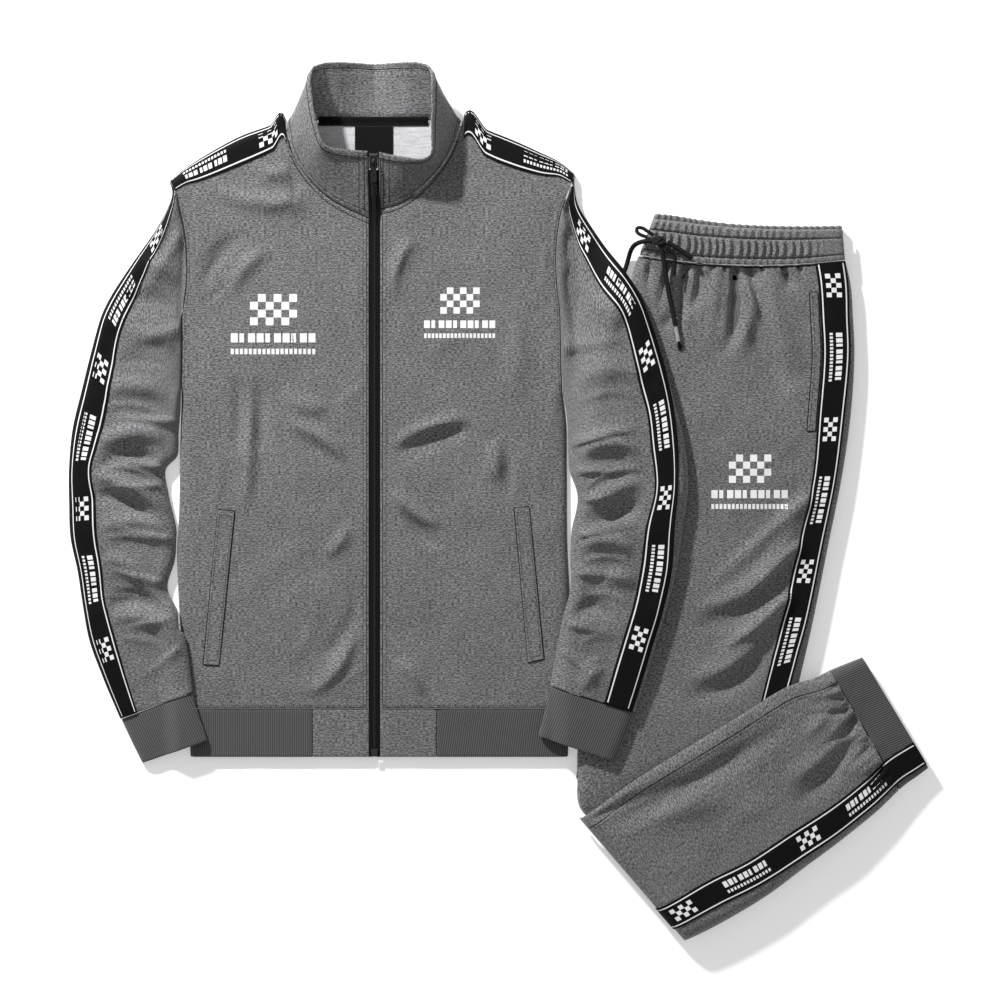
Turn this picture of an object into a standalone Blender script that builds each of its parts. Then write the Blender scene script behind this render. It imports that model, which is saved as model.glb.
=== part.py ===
"""A two-piece tracksuit laid flat on a surface: a zip jacket beside folded trousers.

Metres, +Z up. The garment rests on z = 0. +X runs to the wearer's left, +Y towards the collar.
The origin lies on the underside of the jacket's back panel, on the centre line at mid-chest.
Tables and sizes are in millimetres and are scaled to metres when a mesh is made.
"""
import bmesh
import bpy
import numpy as np

MM = 0.001

# Cloth and seams
WALL = 2.0            # jersey, one wall
RIB_WALL = 2.4        # doubled rib of cuffs, hem and waistband
COLLAR_WALL = 2.5     # doubled collar
TAPE = 0.9            # woven tape
SEAM = 0.5            # clear between pieces that are sewn together
LIE = 0.3             # clear between a panel and what lies on it

# Heights above the floor
BACK_TOP = 2.0
FRONT_TOP = 8.5
SLEEVE_EDGE = 3.0     # height of a sleeve's widest line
LEG_TOP = 18.0
LAYER_TOP = 8.0       # hidden layers that show at a folded edge
BAND_TOP = 20.0
BODY_ROLL = 9.0       # how far in from its edge the cloth rolls down
SLEEVE_ROLL = 13.0
LEG_ROLL = 14.0

HEM_SEAM_Y = -299.0
HEM_Y = -352.0
HEM_TOP = 8.0
BLOCK_X = 68.5        # outer edge of the self-cloth blocks in the hem
ZIP_SIDE = 6.3        # from the centre line to a front panel's edge
NECK_POINT = 99.0     # where collar, shoulder and back meet
NECK_COLUMN = 8       # the front panels' column at the neck point
FRONT_NECK_Y = 240.0
BACK_NECK_Y = 348.0

# Columns: x, y. Top edge of a front panel: neck seam, then the shoulder to the armhole.
TOP_RIGHT = [
    (-6.3, 240), (-20, 246), (-33, 252), (-55, 266), (-77, 289), (-87, 304), (-94, 322), (-99, 349),
    (-115, 343), (-148, 331), (-178, 315), (-199, 302), (-212, 293), (-225, 282)]
TOP_LEFT = [
    (6.3, 250), (22, 254), (41, 264), (60, 281), (76, 300), (86, 317), (92, 332), (97, 350),
    (124, 338), (149, 328), (180, 314), (207, 300), (219, 290)]

# Columns: x, y. Armhole seam, then the side of the body down to the hem seam.
SIDE_RIGHT = [
    (-225, 282), (-220, 272), (-214, 247), (-209, 222), (-207, 195), (-208, 163), (-212, 135),
    (-212, 107), (-213, 51), (-215, -20), (-216, -82), (-218, -124), (-216, -188), (-212, -240),
    (-206, -299), (-203, -352)]
SIDE_LEFT = [
    (219, 290), (215, 271), (207, 252), (202, 227), (200, 199), (201, 167), (204, 142), (205, 107),
    (207, 51), (211, 19), (212, -35), (213, -130), (215, -167), (215, -240), (214, -299), (213, -352)]

# Columns: x from the centre line, depth of the tape that lies along the shoulder.
SHOULDER_TAPE = [(6, 27), (99, 27), (148, 31), (178, 27), (199, 21), (212, 15), (225, 11)]

# Columns: outer x, outer y, inner x, inner y, height, tape's near edge, tape's far edge.
# A row is one section from the sleeve's outer fold to its inner fold, armhole to cuff seam.
SLEEVE_RIGHT = [
    (-225, 282, -213, 51, 9.0, 0.8, 11), (-245, 256, -213, 45, 11.0, 0.8, 13),
    (-266, 218, -214, 37, 13.0, 0.8, 22), (-285, 174, -214, 27, 14.0, 0.8, 32),
    (-300, 135, -215, 16, 14.0, 0.8, 34), (-311, 96, -216, 3, 14.0, 0.8, 35),
    (-322, 52, -216, -11, 14.0, 0.8, 34), (-332, 10, -218, -22, 14.5, 0.8, 33),
    (-336, -32, -230, -36, 15.0, 0.8, 26), (-336, -73, -227, -62, 15.0, 0.8, 30),
    (-334, -114, -218, -106, 14.0, 0.8, 30), (-327, -146, -220, -135, 14.0, 0.8, 28),
    (-321, -185, -228, -166, 14.0, 0.8, 26), (-314, -223, -216, -192, 14.0, 0.8, 29),
    (-300, -262, -207, -223, 13.0, 0.8, 26), (-280, -310, -199, -280, 11.0, 0.8, 21)]
SLEEVE_LEFT = [
    (219, 290, 207, 51, 9.0, 0.8, 15), (237, 266, 207, 45, 11.0, 0.8, 21),
    (255, 237, 208, 38, 13.0, 0.8, 35), (272, 199, 209, 30, 14.0, 0.8, 40),
    (288, 164, 210, 20, 14.5, 0.8, 36), (302, 127, 211, 9, 15.0, 0.8, 36),
    (316, 83, 212, -4, 15.5, 0.8, 36), (328, 41, 213, -19, 16.0, 3.0, 34),
    (339, -3, 214, -36, 16.0, 8.0, 38), (344, -50, 223, -66, 16.0, 12.0, 38),
    (338, -100, 216, -106, 15.5, 10.0, 42), (331, -146, 215, -135, 15.0, 6.0, 40),
    (319, -192, 215, -166, 14.5, 4.0, 37), (308, -229, 207, -198, 14.0, 4.0, 37),
    (298, -263, 200, -234, 13.0, 4.0, 37), (286, -301, 193, -273, 11.0, 4.0, 36)]

# Columns as above, without the tape: cuff seam, middle, open end.
CUFF_RIGHT = [(-279, -311, -200, -281, 9.5), (-268, -335, -192, -307, 10.0), (-256, -359, -183, -333, 9.5)]
CUFF_LEFT = [(285, -302, 193, -274, 9.5), (275, -328, 187, -301, 10.0), (264, -355, 180, -328, 9.5)]

# Columns: x, y. Left edge of the folded trousers, hidden under the sleeve; y falls.
LEG_EDGE = [
    (380, 500), (306, 239), (290, 199), (283, 179), (274, 130), (264, 75), (255, 15), (246, -50),
    (238, -115), (231, -190), (225, -300), (223, -370), (226, -420), (234, -437), (250, -520)]

# Columns: left x, left y, right x, right y, tape's near edge, tape's far edge from the right.
# Sections of the upper leg from the waist seam down to where the lower leg is folded over it.
UPPER_LEG = [
    (290, 199, 518, 194, 1.5, 35), (283, 179, 523, 172, 3.5, 37), (274, 130, 526.5, 130, 5.5, 37.5),
    (264, 75, 528, 90, 6, 37.5), (255, 15, 524, 25, 8, 38), (246, -50, 514, -45, 7, 34),
    (238, -115, 500, -115, 7, 35), (231, -190, 484, -195, 7, 36), (225, -300, 474, -240, 10, 41),
    (223, -370, 467, -270, 12, 46), (227, -410, 463, -288, 13, 49), (238, -422, 461, -297, 14, 50)]

# Columns: top x, top y, bottom x, bottom y, height, height at the top edge, tape near, tape far.
# Sections of the lower leg from its fold, past the ankle seam, to the cuff's end.
LOWER_LEG = [
    (225, -419, 341, -554, 25, 20.8, 19, 49), (238, -410, 356, -547, 26, 21.2, 20, 50),
    (285, -376, 392, -528, 27, 21.2, 20, 51), (341, -341, 433, -503, 27, 21.2, 16, 47),
    (397, -307, 473, -473, 26, 21.2, 12, 44), (453, -273, 516, -441, 25, 21.2, 10, 41),
    (485, -264, 553, -411, 22, 12.0, 9, 39), (507, -254, 584, -382, 19, 8.5, 8, 37),
    (522, -248, 597, -373, 17, 8.5, 7, 36), (536, -242, 609, -364, 16, 8.5, 6, 34)]
ANKLE_SEAM = 0.885    # share of the way along the lower leg's middle line
TUCK = 26.0           # how far the lower leg lies over the upper leg

# Columns: top x, top y, seam x, seam y. The waistband's front, left to right.
BAND = [
    (306, 239, 291, 199.5), (328, 237, 320, 195), (352, 234, 352, 191), (394, 230, 394, 189),
    (436, 228, 436, 188.5), (478, 227.5, 480, 190.5), (514, 228, 517, 194)]
BAND_GATHERS = 26
BAND_STRIP = 7.0      # how far the far side of the waistband shows above the front

# Columns: seam x, seam y, seam z, rim x, rim y, rim z, lift. The collar from zip to zip.
COLLAR = [
    (-6.3, 241, 8.5, -6.3, 310, 36, 1.0), (-20, 247, 8.5, -18, 311, 37, 1.0),
    (-33, 253, 8.5, -30, 312, 38, 1.0), (-55, 267, 8.5, -44, 313, 40, 1.0),
    (-77, 290, 8.2, -55, 320, 43, 1.0), (-87, 305, 7.5, -60, 334, 45, 1.0),
    (-93, 322, 6.0, -64, 352, 46, 1.0), (-97, 338, 4.2, -67, 374, 45, 1.0),
    (-97, 347, 2.0, -69, 390, 42, 1.1), (-91, 349.5, 0.4, -67, 401, 37, 1.3),
    (-76, 349.5, 0.0, -58, 407, 33, 1.6), (-50, 349.5, 0.0, -42, 409, 30, 1.8),
    (0, 349.5, 0.0, 0, 409, 28, 1.8), (45, 349.5, 0.0, 36, 409, 30, 1.8),
    (73, 349.5, 0.0, 53, 407, 33, 1.6), (90, 349.5, 0.4, 62, 401, 37, 1.3),
    (95.5, 347, 2.0, 64, 390, 42, 1.1), (95.5, 338, 4.2, 64.5, 372, 45, 1.0),
    (91, 330, 6.0, 64.5, 348, 46, 1.0), (85, 315, 7.5, 64.5, 326, 45, 1.0),
    (74, 299, 8.2, 63, 308, 43, 1.0), (59, 281, 8.5, 55, 302, 41, 1.0),
    (40, 264.5, 8.5, 39, 303, 39, 1.0), (21, 255, 8.5, 22, 306, 37, 1.0),
    (6.3, 251, 8.5, 6.3, 309, 36, 1.0)]

# Folds. Columns: start x, start y, end x, end y, bow, width, height (a trough is below zero).
BODY_FOLDS = [
    (-178, 273, -65, 262, -10, 9, 2.5), (-136, 300, -83, 287, -4, 7, 2.0),
    (-194, 165, -146, 224, 5, 8, -2.2), (-161, 157, -115, 209, 5, 8, 2.2),
    (-152, 67, -152, -20, 4, 8, -2.2), (-141, 60, -144, -82, 6, 7, 2.6),
    (-129, 67, -129, -20, 4, 8, -2.2), (-97, 16, -30, -27, 8, 8, 2.8),
    (-100, 50, -51, 33, -8, 9, 2.0), (-26, -95, -53, -131, 3, 8, 2.2),
    (-24, -198, -80, -286, 16, 9, 2.6), (-18, -165, -60, -245, 12, 9, -2.0),
    (44, 222, 17, 151, -6, 8, 2.4), (21, -10, 109, 20, 6, 8, 3.0),
    (21, -21, 109, 9, 6, 8, -2.4), (21, -57, 72, -99, -5, 7, 2.6),
    (31, -74, 72, -124, -5, 7, -2.2), (130, -2, 131, -50, 3, 8, 2.2),
    (143, -2, 147, -70, 2, 7, -1.8), (25, -244, 52, -284, 4, 7, 2.0),
    (150, 150, 152, 40, 8, 12, 1.6)]
SLEEVE_FOLDS = [
    (-258, 192, -216, 170, 4, 9, 2.5), (-271, 151, -218, 140, 6, 9, -2.2),
    (-280, 112, -218, 101, 8, 10, 2.6), (-296, 50, -225, 41, 10, 10, 3.0),
    (-307, -11, -225, -3, 10, 9, 4.0), (-302, -29, -236, -25, 6, 7, -3.0),
    (-308, -41, -228, -82, 6, 8, 4.0), (-305, -60, -236, -99, 4, 8, -3.0),
    (-302, -97, -223, -104, 8, 9, 3.0), (-297, -131, -253, -158, 5, 8, 3.0),
    (-293, -183, -218, -200, 10, 9, -3.0), (-290, -200, -220, -215, 10, 10, 2.6),
    (222, 250, 224, 107, -5, 11, -3.4), (214, -29, 292, -16, 14, 9, 4.0),
    (223, -82, 292, -48, 4, 8, 4.0), (241, -90, 292, -71, -4, 8, -3.4),
    (216, -124, 284, -126, 12, 9, 4.0), (252, -154, 286, -163, 4, 9, 3.0),
    (211, -202, 264, -200, 16, 9, -3.2), (227, -278, 250, -249, 3, 7, 2.4),
    (231, 151, 270, 118, 4, 12, 2.4), (220, 63, 292, 68, 8, 11, 2.4)]
LEG_FOLDS = [
    (325, 135, 308, 112, 2, 6, -2.2), (335, 181, 333, 124, 2, 6, -2.4),
    (360, 182, 344, 135, 3, 7, -2.6), (394, 186, 383, 87, 10, 8, -3.0),
    (404, 180, 395, 90, 10, 9, 2.6), (401, 162, 457, 48, -6, 13, -2.8),
    (425, 175, 470, 70, -6, 13, 2.0), (447, 183, 455, 160, 2, 5, -1.8),
    (465, -88, 351, -191, 22, 10, 3.6), (465, -108, 351, -211, 22, 10, -2.4),
    (446, -173, 383, -225, 8, 9, 2.8), (439, -225, 340, -288, 12, 10, -2.6),
    (430, -205, 345, -268, 12, 9, 2.4)]
LOWER_FOLDS = [
    (240, -431, 457, -309, -8, 10, -3.0), (534, -306, 462, -403, 8, 9, -2.8),
    (520, -300, 450, -380, 8, 9, 2.6), (548, -331, 516, -370, 4, 7, 2.2),
    (505, -290, 470, -330, 2, 7, 2.0), (300, -420, 400, -400, 10, 16, 1.8)]

CLOTH = (0.098, 0.098, 0.100)
RIB = (0.075, 0.075, 0.077)
BLACK = (0.006, 0.006, 0.007)


def smoothstep(low, high, x):
    """0 below low, 1 above high, smooth between."""
    s = np.clip((np.asarray(x, float) - low) / (high - low), 0, 1)
    return s * s * (3 - 2 * s)


def through(places, values, x):
    """Smooth curve through the values at rising places, read at x."""
    places = np.asarray(places, float)
    values = np.asarray(values, float)
    slopes = np.gradient(values, places, axis=0)
    x = np.clip(np.asarray(x, float), places[0], places[-1])
    i = np.clip(np.searchsorted(places, x, side="right") - 1, 0, len(places) - 2)
    step = places[i + 1] - places[i]
    s = (x - places[i]) / step
    if values.ndim == 2:
        s = s[..., None]
        step = step[..., None]
    return ((1 + 2 * s) * (1 - s) ** 2 * values[i] + s * (1 - s) ** 2 * step * slopes[i]
            + s * s * (3 - 2 * s) * values[i + 1] + s * s * (s - 1) * step * slopes[i + 1])


def at(table, t):
    """Rows of a section table at shares t of the way along its middle line."""
    table = np.array(table, float)
    middle = (table[:, 0:2] + table[:, 2:4]) / 2
    steps = np.linalg.norm(np.diff(middle, axis=0), axis=1)
    travelled = np.concatenate([[0], np.cumsum(steps)])
    return through(travelled / travelled[-1], table, t)


def roll(distance, radius):
    """Share of the full height at a distance in from a rolled edge."""
    d = np.clip(np.asarray(distance, float) / radius, 0, 1)
    return np.sqrt(1 - (1 - d) ** 2)


def relief(table, x, y):
    """Sum of the soft ridges and troughs in a fold table."""
    total = np.zeros(np.broadcast(x, y).shape)
    for x0, y0, x1, y1, bow, width, height in table:
        dx, dy = x1 - x0, y1 - y0
        length = np.hypot(dx, dy)
        s = ((x - x0) * dx + (y - y0) * dy) / length ** 2
        side = ((y - y0) * dx - (x - x0) * dy) / length - bow * 4 * s * (1 - s)
        ends = np.clip(1 - (2 * s - 1) ** 2, 0, None)
        total += height * ends * np.exp(-(side / width) ** 2)
    return total


def edge_x(table, y):
    """x of a side line at height y; its rows run down the garment."""
    rows = np.array(table, float)[::-1]
    return through(rows[:, 1], rows[:, 0], y)


def top_y(table, x):
    """y of a front panel's top edge at x."""
    rows = np.array(table, float)
    order = np.argsort(rows[:, 0])
    return through(rows[order, 0], rows[order, 1], x)


def side_of(sign):
    return SIDE_LEFT if sign > 0 else SIDE_RIGHT


def top_of(sign):
    return TOP_LEFT if sign > 0 else TOP_RIGHT


def closed_side(y):
    """1 where the body's side is a folded edge, 0 along the armhole."""
    return 1 - smoothstep(36, 64, y)


def front_height(sign, x, y):
    """Top of a front panel."""
    side = np.abs(edge_x(side_of(sign), y)) - np.abs(x)
    shoulder = (top_y(top_of(sign), x) - y) * 0.9
    at_shoulder = smoothstep(90, NECK_POINT, np.abs(x))
    height = FRONT_TOP * (1 - closed_side(y) * (1 - roll(side, BODY_ROLL)))
    height = height * (1 - at_shoulder * (1 - roll(shoulder, BODY_ROLL)))
    calm = smoothstep(6, 26, np.abs(x)) * smoothstep(8, 30, side) * smoothstep(10, 36, shoulder)
    calm = calm * smoothstep(HEM_SEAM_Y, HEM_SEAM_Y + 22, y)
    return height + relief(BODY_FOLDS, x, y) * calm


def over_body(sign, x, y):
    """Height that lifts a sleeve's end over the body's side."""
    inside = np.abs(edge_x(side_of(sign), y)) - np.abs(x)
    begins = (-190, -135)[sign > 0]
    return (FRONT_TOP + 1.2) * smoothstep(-30, -7, inside) * smoothstep(begins + 30, begins - 25, y)


def over_leg(x, y):
    """Height that lifts the wearer's left sleeve over the trousers."""
    return (LEG_TOP + 1.2) * smoothstep(-52, -9, x - edge_x(LEG_EDGE, y))


def ground(sign, x, y):
    """What a sleeve or cuff lies on."""
    lift = over_body(sign, x, y)
    return np.maximum(lift, over_leg(x, y)) if sign > 0 else lift


def normals(points, wrap):
    """Unit normals of a grid of points, along columns first; wrap closes the columns."""
    along = np.gradient(points, axis=0)
    if wrap:
        across = np.roll(points, -1, axis=1) - np.roll(points, 1, axis=1)
    else:
        across = np.gradient(points, axis=1)
    normal = np.cross(along, across)
    length = np.linalg.norm(normal, axis=-1, keepdims=True)
    return normal / np.maximum(length, 1e-9)


def colour_node(obj, colour, roughness=0.9, metallic=0.0):
    material = bpy.data.materials.new(obj.name)
    material.use_nodes = True
    shader = material.node_tree.nodes["Principled BSDF"]
    shader.inputs["Base Color"].default_value = (*colour, 1)
    shader.inputs["Roughness"].default_value = roughness
    shader.inputs["Metallic"].default_value = metallic
    material.diffuse_color = (*colour, 1)
    obj.data.materials.append(material)


def add_mesh(name, bm, colour, roughness=0.9, metallic=0.0):
    mesh = bpy.data.meshes.new(name)
    bmesh.ops.recalc_face_normals(bm, faces=bm.faces)
    bm.to_mesh(mesh)
    bm.free()
    mesh.shade_smooth()
    mesh.set_sharp_from_angle(angle=0.9)
    obj = bpy.data.objects.new(name, mesh)
    bpy.context.scene.collection.objects.link(obj)
    colour_node(obj, colour, roughness, metallic)
    return obj


def add_shell(name, outer, inner, wrap, colour):
    """Closed solid between two grids of points with the same rows and columns."""
    rows, columns = outer.shape[:2]
    bm = bmesh.new()
    front = [[bm.verts.new(p * MM) for p in row] for row in outer]
    back = [[bm.verts.new(p * MM) for p in row] for row in inner]
    for i in range(rows - 1):
        for j in range(columns if wrap else columns - 1):
            k = (j + 1) % columns
            for grid, order in ((front, 1), (back, -1)):
                corners = [grid[i][j], grid[i + 1][j], grid[i + 1][k], grid[i][k]]
                for pick in ((0, 1, 2), (0, 2, 3)):
                    bm.faces.new([corners[c] for c in pick][::order])
    for i in (0, rows - 1):
        for j in range(columns if wrap else columns - 1):
            k = (j + 1) % columns
            bm.faces.new([front[i][j], front[i][k], back[i][k], back[i][j]][::1 if i == 0 else -1])
    if not wrap:
        for j in (0, columns - 1):
            for i in range(rows - 1):
                quad = [front[i][j], front[i + 1][j], back[i + 1][j], back[i][j]]
                bm.faces.new(quad[::-1 if j == 0 else 1])
    return add_mesh(name, bm, colour)


def add_wall(name, outer, thickness, wrap=False, colour=CLOTH, trim=None):
    """Cloth of an even thickness inside a grid of outer points."""
    inner = outer - thickness * normals(outer, wrap)
    inner[..., 2] = np.maximum(inner[..., 2], 0)
    if trim:
        trim(inner)
    return add_shell(name, outer, inner, wrap, colour)


def add_strip(name, outer, normal, thickness, colour, clear=LIE):
    """Strip that lies on part of a panel: the panel's points, moved out."""
    low = outer + normal * clear
    high = outer + normal * (clear + thickness)
    for points in (low, high):
        points[..., 2] = np.maximum(points[..., 2], 0)
    return add_shell(name, high, low, False, colour)


def front_grid(sign):
    """Outer points of a front panel, zip to side and neck to hem seam."""
    widest = abs(top_of(sign)[-1][0])
    marks = np.array([6.3, 20, 34, 48, 62, 75, 87, 94, 99, 118, 140, 162, 182, 201])
    marks = np.concatenate([marks * (widest - 10) / 212, widest - np.array([4.5, 1.2, 0.0])])
    marks[0] = ZIP_SIDE
    across = (marks - ZIP_SIDE) / (widest - ZIP_SIDE)
    tape = through(*np.array(SHOULDER_TAPE, float).T, marks * 225 / widest)
    top = top_y(top_of(sign), sign * marks)
    on_tape = np.array([0, 0.06, 0.22, 0.5, 1.0])
    below = np.linspace(0, 1, 19)[1:]
    rows = [top - share * tape for share in on_tape]
    rows += [(top - tape) + share * (HEM_SEAM_Y + SEAM - top + tape) for share in below]
    y = np.array(rows)
    side = np.abs(edge_x(side_of(sign), y[:, -1]))
    x = sign * (ZIP_SIDE + across[None, :] * (side[:, None] - ZIP_SIDE))
    return np.dstack([x, y, front_height(sign, x, y)])


def add_front(sign, name, tape_name):
    """Front panel and the length of tape that lies along its shoulder."""
    outer = front_grid(sign)
    if sign < 0:
        outer = outer[:, ::-1]

    def trim(inner):
        reach = np.abs(edge_x(side_of(sign), inner[..., 1]))
        inner[..., 0] = sign * np.clip(sign * inner[..., 0], ZIP_SIDE, reach)
        inner[-1, :, 1] = np.maximum(inner[-1, :, 1], HEM_SEAM_Y + SEAM)

    add_wall(name, outer, WALL, trim=trim)
    normal = normals(outer, False)
    columns = slice(NECK_COLUMN, -1) if sign > 0 else slice(1, outer.shape[1] - NECK_COLUMN)
    add_strip(tape_name, outer[:5, columns], normal[:5, columns], TAPE, BLACK)


def sleeve_line(sign, table, t, distances):
    """Plan points at distances in from a sleeve's outer fold, one row for each t."""
    rows = at(table, t)
    outer, inner = rows[:, None, 0:2], rows[:, None, 2:4]
    width = np.linalg.norm(inner - outer, axis=2)
    share = distances / width
    plan = outer + (inner - outer) * share[..., None]
    x, y = plan[..., 0], plan[..., 1]
    side = np.abs(edge_x(side_of(sign), y)) + SEAM
    by_armhole = np.clip(1 - t / 0.22, 0, 1)[:, None] ** 2 * (rows.shape[1] > 5)
    x = sign * (np.abs(x) + by_armhole * (side - np.abs(x)))
    begins = (-190, -135)[sign > 0]
    allowed = 60 * smoothstep(begins - 20, begins - 50, y)
    x = sign * np.maximum(np.abs(x), side + 0.3 - allowed)
    return x, y, width


def sleeve_ring(sign, table, t, tape=True):
    """Closed rings of a sleeve or cuff: over the top to the inner fold, back underneath."""
    rows = at(table, t)
    width = np.linalg.norm(rows[:, 2:4] - rows[:, 0:2], axis=1)[:, None]
    if tape:
        near, far = rows[:, 5:6], rows[:, 6:7]
        first = [near * 0] + [near + (far - near) * s for s in (0, 0.12, 0.42, 1)]
    else:
        far = width * 0 + SLEEVE_ROLL
        first = [far * s for s in (0, 0.1, 0.42, 1)]
    last = SLEEVE_ROLL * np.array([0.55, 0.15, 0.0])
    middle = [far + (width - SLEEVE_ROLL - far) * s for s in np.linspace(0, 1, 6)[1:]]
    top = np.hstack(first + middle + [width - d for d in last])
    under = np.hstack([width - 3] + [width * s for s in np.linspace(1, 0, 11)[1:-1]] + [width * 0 + 3])
    x, y, _ = sleeve_line(sign, table, t, top)
    crown = (rows[:, 4:5] - SLEEVE_EDGE) * roll(top, SLEEVE_ROLL) * roll(width - top, SLEEVE_ROLL)
    calm = smoothstep(0, 26, width - top) * smoothstep(0, 30, top) * smoothstep(0, 0.05, t)[:, None]
    calm = calm * smoothstep(1.0, 0.97, t)[:, None]
    z = ground(sign, x, y) + SLEEVE_EDGE + crown
    z = z + (relief(SLEEVE_FOLDS, x, y) * calm if tape else 0)
    below_x, below_y, _ = sleeve_line(sign, table, t, under)
    below_z = ground(sign, below_x, below_y)
    ring = np.dstack([np.hstack([x, below_x]), np.hstack([y, below_y]), np.hstack([z, below_z])])
    return ring


def add_sleeve(sign, table, name, tape_name):
    """Sleeve tube from the armhole to the cuff seam, and the tape along its outer fold."""
    t = np.concatenate([[0, 0.02, 0.05], np.linspace(0.09, 1, 17)])
    ring = sleeve_ring(sign, table, t)

    def trim(inner):
        reach = np.abs(edge_x(side_of(sign), inner[0, :, 1])) + SEAM
        inner[0, :, 0] = sign * np.maximum(np.abs(inner[0, :, 0]), reach)

    ring = ring if sign < 0 else ring[:, ::-1]
    add_wall(name, ring, WALL, wrap=True, trim=trim)
    normal = normals(ring, True)
    columns = slice(1, 5) if sign < 0 else slice(ring.shape[1] - 5, ring.shape[1] - 1)
    add_strip(tape_name, ring[:, columns], normal[:, columns], TAPE, BLACK)


def add_cuff(sign, table, name):
    ring = sleeve_ring(sign, table, np.linspace(0, 1, 4), tape=False)
    ring = ring if sign < 0 else ring[:, ::-1]
    add_wall(name, ring, RIB_WALL, wrap=True, colour=RIB)


def add_back():
    """Flat back panel, under the fronts and inside their rolled edges."""
    inset = 4.2
    neck = np.linspace(-85, 85, 5)
    left = np.array([-222, -205, -178, -140, -115, -97])
    right = np.array([97, 115, 140, 178, 203, 216])
    marks = np.concatenate([left, neck, right])
    top = np.where(np.abs(marks) < 90, BACK_NECK_Y - 1.5,
                   np.where(marks < 0, top_y(TOP_RIGHT, marks), top_y(TOP_LEFT, marks))
                   - inset * 2.6 - 14 * np.exp(-((np.abs(marks) - 97) / 8) ** 2))
    rows = []
    for share in np.linspace(0, 1, 10):
        y = top + share * (HEM_SEAM_Y + SEAM - top)
        tucked = 2.6 + (inset - 2.6) * np.maximum(closed_side(y), smoothstep(230, 280, y))
        low = edge_x(SIDE_RIGHT, y) + tucked
        high = edge_x(SIDE_LEFT, y) - tucked
        u = (marks - marks[0]) / (marks[-1] - marks[0])
        x = low + u * (high - low)
        x = x + (marks - x) * np.clip(1 - share / 0.25, 0, 1)
        x = np.clip(x, low, high)
        rows.append(np.column_stack([x, y, np.full_like(x, BACK_TOP)]))
    outer = np.array(rows)
    inner = outer.copy()
    inner[..., 2] = 0
    add_shell("back_panel", outer, inner, False, CLOTH)


def add_hem():
    """Rib band from block to block round the back, and the two blocks beside the zip."""
    y = np.linspace(HEM_SEAM_Y - SEAM, HEM_Y, 4)
    turn = BODY_ROLL * np.array([1, 0.55, 0.15, 0])
    rows = []
    for height in y:
        low, high = float(edge_x(SIDE_RIGHT, height)), float(edge_x(SIDE_LEFT, height))
        top_right = np.concatenate([np.linspace(-BLOCK_X, low + BODY_ROLL, 6)[:-1], low + turn])
        under = np.linspace(low + 3, high - 3, 9)
        top_left = -np.concatenate([np.linspace(-BLOCK_X, -high + BODY_ROLL, 6)[:-1], -high + turn])
        x = np.concatenate([top_right, under, top_left[::-1]])
        lift_right = SLEEVE_EDGE + (HEM_TOP - SLEEVE_EDGE) * roll(top_right - low, BODY_ROLL)
        lift_left = SLEEVE_EDGE + (HEM_TOP - SLEEVE_EDGE) * roll(high - top_left, BODY_ROLL)
        z = np.concatenate([lift_right, np.zeros_like(under), lift_left[::-1]])
        rows.append(np.column_stack([x, np.full_like(x, height), z]))
    add_wall("hem_rib", np.array(rows)[:, ::-1], RIB_WALL, colour=RIB)
    for sign, name in ((-1, "hem_block_right"), (1, "hem_block_left")):
        x = np.sort(sign * np.linspace(ZIP_SIDE, BLOCK_X - SEAM, 5))
        grid = np.dstack([*np.meshgrid(x, y[::-1]), np.full((4, 5), HEM_TOP)])
        low = grid.copy()
        low[..., 2] -= RIB_WALL
        add_shell(name, grid, low, False, CLOTH)


def collar_grid(columns, rows):
    """Outer points of the collar; the columns run from zip to zip, the rows from seam to rim."""
    table = np.array(COLLAR, float)
    steps = np.linalg.norm(np.diff(table[:, 0:2] + table[:, 3:5], axis=0), axis=1)
    places = np.concatenate([[0], np.cumsum(steps)])
    stations = through(places / places[-1], table, columns)
    centre = np.array([0.0, 300.0])
    inward = centre - stations[:, 0:2]
    inward = inward / np.linalg.norm(inward, axis=1, keepdims=True)
    inward[:, 1] = np.where(stations[:, 1] > 340, 0.2, inward[:, 1])
    seam = stations[:, 0:2] + inward * 1.2
    seam_z = stations[:, 2].copy()
    for sign in (-1, 1):
        x = sign * np.clip(sign * seam[:, 0], ZIP_SIDE, 96)
        mine = (sign * seam[:, 0] > 5) & (stations[:, 1] < 346)
        edge = top_y(top_of(sign), x)
        slope = top_y(top_of(sign), x + 1) - top_y(top_of(sign), x - 1)
        lifted = edge + 1.0 * np.sqrt(1 + (slope / 2) ** 2)
        seam[:, 1] = np.where(mine, lifted, seam[:, 1])
        seam_z = np.where(mine, front_height(sign, x, edge - 1.5), seam_z)
    h = rows[:, None]
    plan = seam[None] + (stations[:, 3:5] - seam)[None] * h[..., None]
    z = seam_z[None] + (stations[:, 5] - seam_z)[None] * h ** stations[None, :, 6]
    return np.dstack([plan, z])


def add_collar():
    grid = collar_grid(np.linspace(0, 1, 35), np.linspace(0, 1, 6))

    def trim(inner):
        for j, sign in ((0, -1), (-1, 1)):
            inner[:, j, 0] = sign * np.maximum(sign * inner[:, j, 0], ZIP_SIDE)
        inner[0, :, 1] = np.where(grid[0, :, 1] > 345, grid[0, :, 1], inner[0, :, 1])

    add_wall("collar", grid, COLLAR_WALL, colour=CLOTH, trim=trim)


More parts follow.
